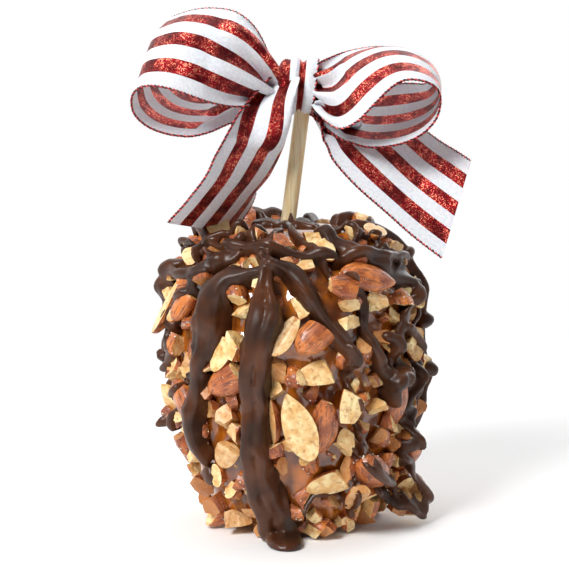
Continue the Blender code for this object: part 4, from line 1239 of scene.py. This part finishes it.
# %% Tongue on the floor
def tongue():
    low, high = (np.array(v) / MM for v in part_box("chocolate_tongue"))
    rows, columns = 44, 31
    t = np.linspace(0, 1, rows)[:, None]
    u = np.linspace(-1, 1, columns)[None, :]
    half = (high[0] - low[0]) / 2 * (1.05 - 0.22 * t) * np.sqrt(np.clip(1 - t ** 7, 0.02, 1))
    half = half * (1 + 0.05 * np.sin(9 * t))
    x = (low[0] + high[0]) / 2 - 1.5 + 3.0 * t + half * u
    y = high[1] + 4 + (low[1] - high[1] - 4) * t + 0 * u
    thick = (high[2] - low[2] + 1.6) * (1 - 0.42 * t) * np.clip(1 - np.abs(u) ** 3, 0.0, 1) ** 0.5
    thick = thick * np.clip(1 - t ** 9, 0, 1) ** 0.5
    folds = 0.35 * np.sin(2.4 * u * np.pi + 2 * t) + 0.3 * wander(np.stack([x, y], -1), 4.0, 8)
    top = np.maximum(thick + folds * np.clip(thick / 3, 0, 1), 0.3)
    outer = np.stack([x, y, top], -1)
    inner = np.stack([x, y, np.full_like(x, 0.1)], -1)
    chocolate_heap.add(*slab(inner, outer))


tongue()

# %% Melt the chocolate into one skin
VOXEL = 0.6
KEPT_FACES = 0.5  # share of the faces that the flat stretches can do with


def melt(heap, name, finish, voxel, rounds):
    """Join overlapping closed shapes into one skin of even faces, a little smoothed."""
    rough = heap.piece(name + "_rough", [finish])
    change = rough.modifiers.new("melt", "REMESH")
    change.mode = "VOXEL"
    change.voxel_size = voxel * MM
    soft = rough.modifiers.new("soften", "SMOOTH")
    soft.factor = 0.5
    soft.iterations = rounds
    fewer = rough.modifiers.new("fewer", "DECIMATE")
    fewer.ratio = KEPT_FACES
    bpy.context.view_layer.update()
    graph = bpy.context.evaluated_depsgraph_get()
    mesh = bpy.data.meshes.new_from_object(rough.evaluated_get(graph))
    bpy.data.objects.remove(rough, do_unlink=True)
    mesh.name = name
    mesh.materials.clear()
    mesh.materials.append(finish)
    mesh.shade_smooth()
    made = bpy.data.objects.new(name, mesh)
    bpy.context.scene.collection.objects.link(made)
    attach(made, "root")
    mesh.calc_loop_triangles()
    print(name, "has", len(mesh.loop_triangles), "triangles")
    return made


chocolate_piece = melt(chocolate_heap, "chocolate_drizzle", chocolate, VOXEL, 2)
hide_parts(*[n for n in frame["nodes"] if n.startswith("chocolate_")])

# %% [markdown]
# ## The stick
# It is a plain round stick of pale wood, cut square, with fine grooves and streaks along its
# grain. A smooth cylinder would read as plastic, so its radius is disturbed by noise that is
# stretched along its length, and the same stretch gives the streaks in the finish.

# %% Stick
def wood_finish():
    finish = Finish("pale_wood", Roughness=0.6)
    streak = finish.noise(0.9, 3.0, (1, 1, 0.05))
    broad = finish.noise(2.6, 2.0, (1, 1, 0.12))
    pale = finish.mix(finish.ramp(broad, 0.35, 0.7), colour(252, 238, 200), colour(238, 212, 156))
    toned = finish.mix(finish.ramp(streak, 0.5, 0.72, 0.0, 0.55), pale, colour(196, 156, 100))
    relief = finish.bump(streak, 0.1, 0.6)
    finish.fill(finish.shader, {"Subsurface Weight": 0.1, "Subsurface Scale": 0.6 * MM})
    return finish.set(Base_Color=toned, Normal=relief,
                      Roughness=finish.ramp(streak, 0.3, 0.7, 0.45, 0.7))


def stick():
    rows, around = 150, 48
    top = stick_middle(stick_high[2] - STICK_RADIUS * math.sin(stick_lean))
    t = np.linspace(0, 1, rows)
    a = np.linspace(0, 2 * np.pi, around, endpoint=False)
    side = np.stack([stick_way[2] * np.cos(a), np.sin(a), -stick_way[0] * np.cos(a)], -1)
    length = np.linalg.norm(top - stick_foot)
    grain = wander(np.stack(np.broadcast_arrays(np.cos(a) * 2.7, np.sin(a) * 2.7,
                                                (t * length * 0.05)[:, None]), -1), 0.7, 21)
    bevel = np.clip(np.minimum(t, 1 - t) * length / 0.5, 0, 1)[:, None]
    radius = (STICK_RADIUS + 0.07 * grain) * (0.88 + 0.12 * np.sqrt(bevel))
    middle = stick_foot + stick_way * (t * length)[:, None]
    grid = middle[:, None, :] + side[None] * radius[..., None]
    points = np.concatenate([grid.reshape(-1, 3), [stick_foot], [top]])
    faces = quads(rows, around, closed=True)
    last = (rows - 1) * around
    for j in range(around):
        k = (j + 1) % around
        faces.append([rows * around, k, j])
        faces.append([rows * around + 1, last + j, last + k])
    heap = Heap()
    heap.add(points, faces)
    return heap.piece("wooden_stick", [wood_finish()], sharp=60)


stick_piece = stick()
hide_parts("stick")

# %% [markdown]
# ## The striped ribbon
# The bow is one woven ribbon, 38 mm wide, with seven bands: four of plain white weave and
# three of glittering red metal thread. It is stiff enough to stand in round loops. A cloth
# simulation could tie such a bow, but not into exactly this shape. So each stretch follows two
# given lines, one for each edge, and only what lies between them is worked out: the cloth
# arches out by a set height, and where the two edges come closer together than the ribbon is
# wide, it is laid in waves that use up the rest of its width. That keeps the cloth from
# shrinking, and the bands narrow and turn as real ones do.

# %% Ribbon finishes
RIBBON_WIDTH = 38.0
CLOTH_THICK = 0.32
BANDS = 7
BAND_FACES = 6  # columns of faces in each band
ACROSS = BANDS * BAND_FACES + 1


def cloth_place(finish):
    """Coordinates on the cloth in millimetres: across it and along it."""
    return finish.node("CombineXYZ", {"X": finish.attribute("across"),
                                      "Y": finish.attribute("along")}).outputs["Vector"]


def weave(finish, where, pitch, strength):
    """Relief of threads over and under each other."""
    parts = finish.node("SeparateXYZ", {"Vector": where})
    turn = 2 * math.pi / pitch
    over = finish.math("SINE", finish.math("MULTIPLY", parts.outputs["X"], turn))
    under = finish.math("SINE", finish.math("MULTIPLY", parts.outputs["Y"], turn))
    return finish.bump(finish.math("MULTIPLY", over, under), 0.12, strength)


def white_cloth():
    finish = Finish("ribbon_white", Roughness=0.72)
    where = cloth_place(finish)
    cloud = finish.node("TexNoise", {"Vector": where, "Scale": 0.9, "Detail": 4.0}).outputs["Fac"]
    toned = finish.mix(finish.ramp(cloud, 0.3, 0.7), colour(240, 242, 246), colour(224, 228, 235))
    finish.fill(finish.shader, {"Sheen Weight": 0.25, "Sheen Roughness": 0.4,
                                "Subsurface Weight": 0.2, "Subsurface Scale": 0.6 * MM,
                                "Specular IOR Level": 0.35})
    return finish.set(Base_Color=toned, Normal=weave(finish, where, 0.55, 0.6))


def red_cloth():
    finish = Finish("ribbon_red", Metallic=0.9)
    where = cloth_place(finish)
    cells = finish.node("TexVoronoi", {"Vector": where, "Scale": 2.4})
    spark = finish.node("SeparateXYZ", {"Vector": cells.outputs["Color"]})
    broad = finish.node("TexNoise", {"Vector": where, "Scale": 0.16, "Detail": 2.0}).outputs["Fac"]
    dull = finish.mix(finish.ramp(broad, 0.35, 0.65), colour(168, 29, 38), colour(98, 11, 19))
    # Scattered cells of the weave turn pale salmon, mostly where the broad noise keeps the red lighter:
    # painted glints of the metal thread.
    chosen = finish.ramp(spark.outputs["X"], 0.66, 0.76)
    painted_glints = finish.mix(finish.math("MULTIPLY", chosen, finish.ramp(broad, 0.4, 0.6, 0.95, 0.08)),
                         dull, colour(255, 150, 120))
    relief = finish.bump(spark.outputs["Y"], 0.28, 0.9, weave(finish, where, 0.55, 0.5))
    return finish.set(Base_Color=painted_glints, Normal=relief,
                      Roughness=finish.ramp(spark.outputs["X"], 0.0, 1.0, 0.4, 0.2))


# %% Where the ribbon runs
# Each row: the lower edge (x, y, z) and the upper edge, in mm; how far the cloth arches out
# between them; and where the arch is highest, from -1 at the lower edge to 1 at the upper
LEFT_LOOP = [
    ((-5.4, -5.0, 152.0), (-5.4, -5.0, 161.9), 0.0, 0.2),
    ((-9.0, -8.0, 151.3), (-7.4, -6.0, 164.0), 0.5, 0.2),
    ((-15.2, -14.0, 151.2), (-9.6, -10.0, 171.3), 1.0, 0.2),
    ((-22.0, -20.0, 151.3), (-13.8, -13.0, 179.0), 1.5, 0.2),
    ((-28.7, -26.0, 152.7), (-20.0, -14.0, 183.8), 2.5, 0.2),
    ((-35.3, -30.0, 155.1), (-27.5, -10.6, 185.2), 4.5, 0.2),
    ((-42.6, -32.0, 157.6), (-33.8, -9.7, 184.9), 5.0, 0.2),
    ((-48.8, -31.0, 158.5), (-39.4, -5.7, 183.7), 4.0, 0.2),
    ((-53.2, -27.5, 157.6), (-43.3, -1.0, 182.1), 3.0, 0.2),
    ((-55.9, -23.0, 154.2), (-44.1, 4.9, 177.0), 1.0, 0.2),
    ((-55.6, -18.0, 148.8), (-43.0, 14.4, 164.3), 0.0, 0.2),
    ((-51.5, -14.0, 144.4), (-38.2, 18.8, 158.5), 0.0, 0.2),
    ((-45.0, -11.0, 141.7), (-33.5, 22.1, 156.6), 0.0, 0.2),
    ((-37.4, -9.0, 140.6), (-28.8, 24.4, 156.6), 0.0, 0.2),
    ((-30.0, -7.0, 141.9), (-23.0, 19.0, 157.7), 0.0, 0.2),
    ((-23.0, -3.5, 144.9), (-17.0, 16.0, 159.2), 0.0, 0.2),
    ((-14.8, 1.0, 148.0), (-9.1, 9.0, 161.7), 0.0, 0.2),
]
BEHIND_STICK = [
    ((-2.9, 4.0, 149.6), (-2.9, 4.0, 162.7), 0.0, 0),
    ((2.5, 4.4, 149.4), (2.5, 4.4, 162.0), 0.0, 0),
]
RIGHT_LOOP = [
    ((7.2, 3.0, 147.6), (8.3, 4.5, 160.6), 0.0, 0.1),
    ((12.5, -4.0, 142.7), (15.0, 11.0, 159.2), 0.5, 0.1),
    ((18.7, -11.0, 138.9), (22.1, 21.3, 158.5), 1.5, 0.1),
    ((27.0, -15.0, 137.1), (30.0, 15.8, 158.4), 2.5, 0.1),
    ((36.6, -18.0, 137.9), (39.4, 12.9, 159.2), 2.5, 0.1),
    ((44.1, -20.0, 141.1), (44.9, 13.2, 159.2), 2.0, 0.1),
    ((49.1, -22.0, 146.6), (48.2, 13.6, 159.2), 2.0, 0.1),
    ((50.5, -24.0, 152.5), (50.3, 12.8, 161.0), 2.0, 0.1),
    ((49.3, -26.0, 157.0), (50.1, 10.9, 165.0), 2.0, 0.1),
    ((44.9, -28.0, 159.7), (46.2, 8.3, 168.9), 3.0, 0.1),
    ((38.3, -29.0, 160.3), (39.5, 6.2, 171.7), 4.0, 0.1),
    ((32.9, -29.0, 157.6), (31.4, 4.2, 172.4), 5.0, 0.1),
    ((27.2, -28.0, 151.9), (24.4, 2.0, 171.6), 5.5, 0.1),
    ((21.9, -25.0, 146.2), (18.2, 0.0, 170.1), 4.5, 0.1),
    ((16.2, -20.0, 143.7), (13.5, -4.0, 168.3), 3.0, 0.1),
    ((10.8, -14.0, 146.8), (9.5, -7.0, 166.5), 1.5, 0.1),
    ((6.7, -8.0, 151.7), (7.0, -6.0, 164.7), 0.5, 0.1),
    ((3.1, -5.0, 152.4), (3.1, -5.0, 162.3), 0.0, 0.1),
]
LEFT_TAIL = [
    ((-5.1, -6.5, 164.0), (-1.9, -6.0, 156.3), 0.0, 0.6),
    ((-9.3, -11.0, 160.1), (-2.2, -8.0, 151.3), 2.0, 0.6),
    ((-14.4, -17.0, 154.5), (-2.9, -8.0, 147.8), 4.0, 0.6),
    ((-18.5, -23.0, 149.4), (-4.3, -6.0, 144.2), 6.0, 0.65),
    ((-21.5, -27.0, 144.0), (-6.2, -3.0, 139.5), 7.0, 0.65),
    ((-25.5, -30.0, 136.6), (-9.4, 1.0, 132.5), 7.0, 0.65),
    ((-30.4, -30.0, 128.0), (-12.1, 6.0, 124.3), 5.5, 0.6),
    ((-36.5, -27.0, 118.9), (-15.0, 3.5, 116.0), 3.0, 0.4),
    ((-43.8, -22.0, 110.8), (-20.2, 7.2, 107.7), 2.5, 0.2),
]
RIGHT_TAIL = [
    ((7.1, -3.0, 149.1), (9.6, -3.0, 154.1), 0.0, 0),
    ((9.9, -6.0, 144.6), (18.7, -1.0, 149.8), 0.0, 0),
    ((10.9, -9.0, 138.6), (31.1, 21.0, 150.3), 1.0, 0),
    ((14.4, -12.0, 132.0), (39.4, 11.8, 147.8), 1.0, 0),
    ((22.8, -15.0, 123.0), (46.3, 6.6, 143.6), 1.0, 0),
    ((32.9, -18.0, 114.0), (53.3, 2.7, 138.6), 0.0, 0),
    ((42.0, -20.0, 106.1), (58.6, -2.0, 135.2), 0.0, 0),
    ((52.2, -21.0, 98.4), (63.5, -6.7, 131.8), 0.0, 0),
]


# %% Lay the cloth between its edges
LOOP_WAVES = (2.33, 3.67)  # number of half waves across the ribbon, and where they start
BACK_WAVES = (2.55, 3.5)
RIGHT_WAVES = (2.9, 3.39)
TAIL_WAVES = (1.4, 0.8)
SLACK = 1.5  # width in mm that the cloth may lack before waves are laid


def section(half, arch, peak, waves, start, depth, soft):
    """Places across (x) and off the flat (n) of the ribbon's cross-section."""
    x = np.linspace(-1, 1, 321)
    t = np.where(x < peak, (x - peak) / (1 + peak), (x - peak) / (1 - peak))
    crown = math.hypot(1, soft)
    bulge = (crown - np.hypot(t, soft)) / (crown - soft)
    wave = np.sin(np.pi * waves * x + start)
    wave = wave - (wave[0] * (1 - x) + wave[-1] * (1 + x)) / 2
    return half * x, arch * bulge + depth * wave


def arc_of(x, n):
    return np.concatenate([[0], np.cumsum(np.hypot(np.diff(x), np.diff(n)))])


def gathered(half, arch, peak, waves, start, soft):
    """The cross-section at evenly spaced places of the ribbon, with waves as deep as needed."""
    wanted = max(arc_of(*section(half, arch, peak, waves, start, 0.0, soft))[-1],
                 RIBBON_WIDTH - SLACK)
    low, high = 0.0, 14.0
    for _ in range(26):
        depth = (low + high) / 2
        x, n = section(half, arch, peak, waves, start, depth, soft)
        run = arc_of(x, n)
        low, high = (depth, high) if run[-1] < wanted else (low, depth)
    even = np.linspace(0, run[-1], ACROSS)
    return np.interp(even, run, x), np.interp(even, run, n)


def with_waves(stops, waves):
    return [(*low, *high, arch, peak, *waves) for low, high, arch, peak in stops]


def stretch(stops, side, soft, flutter, seed):
    """A stretch of ribbon as a grid of points (rows, across, 3), and its length."""
    rows = through(stops, 9)
    low, high = rows[:, :3], rows[:, 3:6]
    centre = (low + high) / 2
    width = unit(high - low)
    face = side * unit(np.cross(unit(np.gradient(centre, axis=0)), width))
    run = np.concatenate([[0], np.cumsum(np.linalg.norm(np.diff(centre, axis=0), axis=1))])
    grid = np.zeros((len(rows), ACROSS, 3))
    for i, half in enumerate(np.linalg.norm(high - low, axis=1) / 2):
        x, n = gathered(min(half, RIBBON_WIDTH / 2), *rows[i, 6:], soft)
        grid[i] = centre[i] + width[i] * x[:, None] + face[i] * n[:, None]
    u = np.linspace(-18, 18, ACROSS)
    ripple = wander(np.stack(np.meshgrid(run, u, indexing="ij"), -1), 14.0, seed + 30)
    return grid + face[:, None, :] * (flutter * ripple)[..., None], run[-1]


loop_stops = (with_waves(LEFT_LOOP, LOOP_WAVES) + with_waves(BEHIND_STICK, BACK_WAVES)
              + with_waves(RIGHT_LOOP, RIGHT_WAVES))
loops, loops_length = stretch(loop_stops, -1, 1.0, 0.35, 1)
left_tail, left_length = stretch(with_waves(LEFT_TAIL, TAIL_WAVES), 1, 0.25, 0.3, 2)
right_tail, right_length = stretch(with_waves(RIGHT_TAIL, TAIL_WAVES), 1, 1.0, 0.25, 3)

# %% The knot
# The cloth goes round in front of the stick. Its outline from the side: y and z in mm.
KNOT_LOOP = [
    (-3.6, 158.5), (-3.8, 163.5), (-5.2, 166.6), (-7.2, 167.2), (-9.2, 165.4), (-10.2, 162),
    (-10.4, 158.5), (-10.2, 155), (-9.2, 151.4), (-7.2, 149.8), (-5.2, 150.4), (-3.8, 153.5),
]
# Its cross-section: place across the ribbon from 0 to 1, x, and height in mm
KNOT_LAYER = [
    (0.44, -6.3, -3.6), (0.47, -5.5, -1.0), (0.52, -3.9, 0.5), (0.571, -2.0, 0.3),
    (0.64, -0.2, 1.3), (0.714, 1.1, 0.6), (0.75, 1.9, -0.4), (0.80, 2.8, -0.5),
    (0.857, 3.6, 0.2), (0.92, 5.1, 0.9), (1.0, 7.6, 0.4),
]


def wrapped(layer, steps=10):
    """A layer of the knot as a grid of points and the place of each column across the ribbon."""
    loop = through(KNOT_LOOP + KNOT_LOOP[:3], steps)[steps:steps * (len(KNOT_LOOP) + 1) + 1]
    ahead = unit(np.gradient(loop, axis=0))
    outward = np.stack([-ahead[:, 1], ahead[:, 0]], -1)
    middle = loop.mean(0)
    outward *= np.sign(((loop - middle) * outward).sum(1, keepdims=True))
    across = through(layer, 5)
    z = loop[:, 1]
    narrow = np.interp(z, [149.5, 154, 162, 167.5], [0.86, 0.94, 1.0, 1.02])
    shift = np.interp(z, [149.5, 167.5], [-0.2, 1.2])
    grid = np.zeros((len(loop), len(across), 3))
    grid[..., 0] = across[None, :, 1] * narrow[:, None] + shift[:, None]
    grid[..., 1] = loop[:, None, 0] + outward[:, None, 0] * across[None, :, 2]
    grid[..., 2] = loop[:, None, 1] + outward[:, None, 1] * across[None, :, 2]
    return grid, across[:, 0]


# %% Sew it all into one piece of cloth
def sew(heap, grid, places):
    """Add a strip; places are the columns' places across the ribbon, from 0 to 1."""
    normal = unit(np.cross(np.gradient(grid, axis=0), np.gradient(grid, axis=1)))
    points, faces = slab(grid - normal * CLOTH_THICK / 2, grid + normal * CLOTH_THICK / 2)
    run = np.linalg.norm(np.diff(grid[:, grid.shape[1] // 2], axis=0), axis=1)
    run = np.concatenate([[0], np.cumsum(run)])
    across = np.tile(places, 2 * len(grid))
    bands = [min(BANDS - 1, int(np.mean([across[k] for k in f]) * BANDS)) % 2 for f in faces]
    heap.add(points, faces, bands, across=across * RIBBON_WIDTH,
             along=np.tile(np.repeat(run, grid.shape[1]), 2))


even = np.linspace(0, 1, ACROSS)
knot, knot_places = wrapped(KNOT_LAYER)
cloth = Heap()
for grid, places in ((loops, even), (left_tail, even), (right_tail, even), (knot, knot_places)):
    sew(cloth, grid, places)
ribbon = cloth.piece("striped_ribbon", [white_cloth(), red_cloth()], sharp=60)
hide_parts("ribbon_bow")

# %% [markdown]
# ## The twisted edge thread
# Both edges of the ribbon are bound with a thread of two twisted strands, one bright red and
# one dark. A striped tube would do from far off. Two real helices catch the light as the thread
# does, so each edge line gets a pair of thin tubes wound round it.

# %% Thread
THREAD_RADIUS = 0.27  # of one strand
THREAD_TURN = 2.6  # length of one full twist
TURN_STEPS = 8
THREAD_SIDES = 5


def twisted(line, heap):
    """Two strands wound round a line."""
    run = np.concatenate([[0], np.cumsum(np.linalg.norm(np.diff(line, axis=0), axis=1))])
    count = int(run[-1] / THREAD_TURN * TURN_STEPS)
    at = np.linspace(0, run[-1], count)
    centre = np.stack([np.interp(at, run, line[:, k]) for k in range(3)], -1)
    centre = blur(centre, 2.0, 0)
    ahead = unit(np.gradient(centre, axis=0))
    one = unit(np.cross(ahead, np.array([0.21, 0.37, 0.9])))
    two = np.cross(ahead, one)
    twist = 2 * np.pi * at / THREAD_TURN
    sides = np.linspace(0, 2 * np.pi, THREAD_SIDES, endpoint=False)
    for strand_number in (0, 1):
        turn = (twist + np.pi * strand_number)[:, None]
        middle = centre + (one * np.cos(turn) + two * np.sin(turn)) * THREAD_RADIUS * 0.85
        ring = (one[:, None] * np.cos(sides)[None, :, None]
                + two[:, None] * np.sin(sides)[None, :, None]) * THREAD_RADIUS
        grid = middle[:, None, :] + ring
        faces = quads(count, THREAD_SIDES, closed=True)
        faces.append(list(range(THREAD_SIDES))[::-1])
        faces.append([(count - 1) * THREAD_SIDES + k for k in range(THREAD_SIDES)])
        heap.add(grid.reshape(-1, 3), faces, strand_number)


thread_heap = Heap()
for grid in (loops, left_tail, right_tail):
    twisted(grid[:, 0], thread_heap)
    twisted(grid[:, -1], thread_heap)
twisted(knot[:, -1], thread_heap)

bright = Finish("thread_bright", Base_Color=colour(214, 84, 84), Metallic=0.85, Roughness=0.3)
bright.set(Normal=bright.bump(bright.noise(0.15), 0.05, 0.6))
dark = Finish("thread_dark", Base_Color=colour(62, 6, 14), Metallic=0.5, Roughness=0.45)
dark.set(Normal=dark.bump(dark.noise(0.15), 0.05, 0.6))
thread = thread_heap.piece("edge_thread", [bright.material, dark.material])
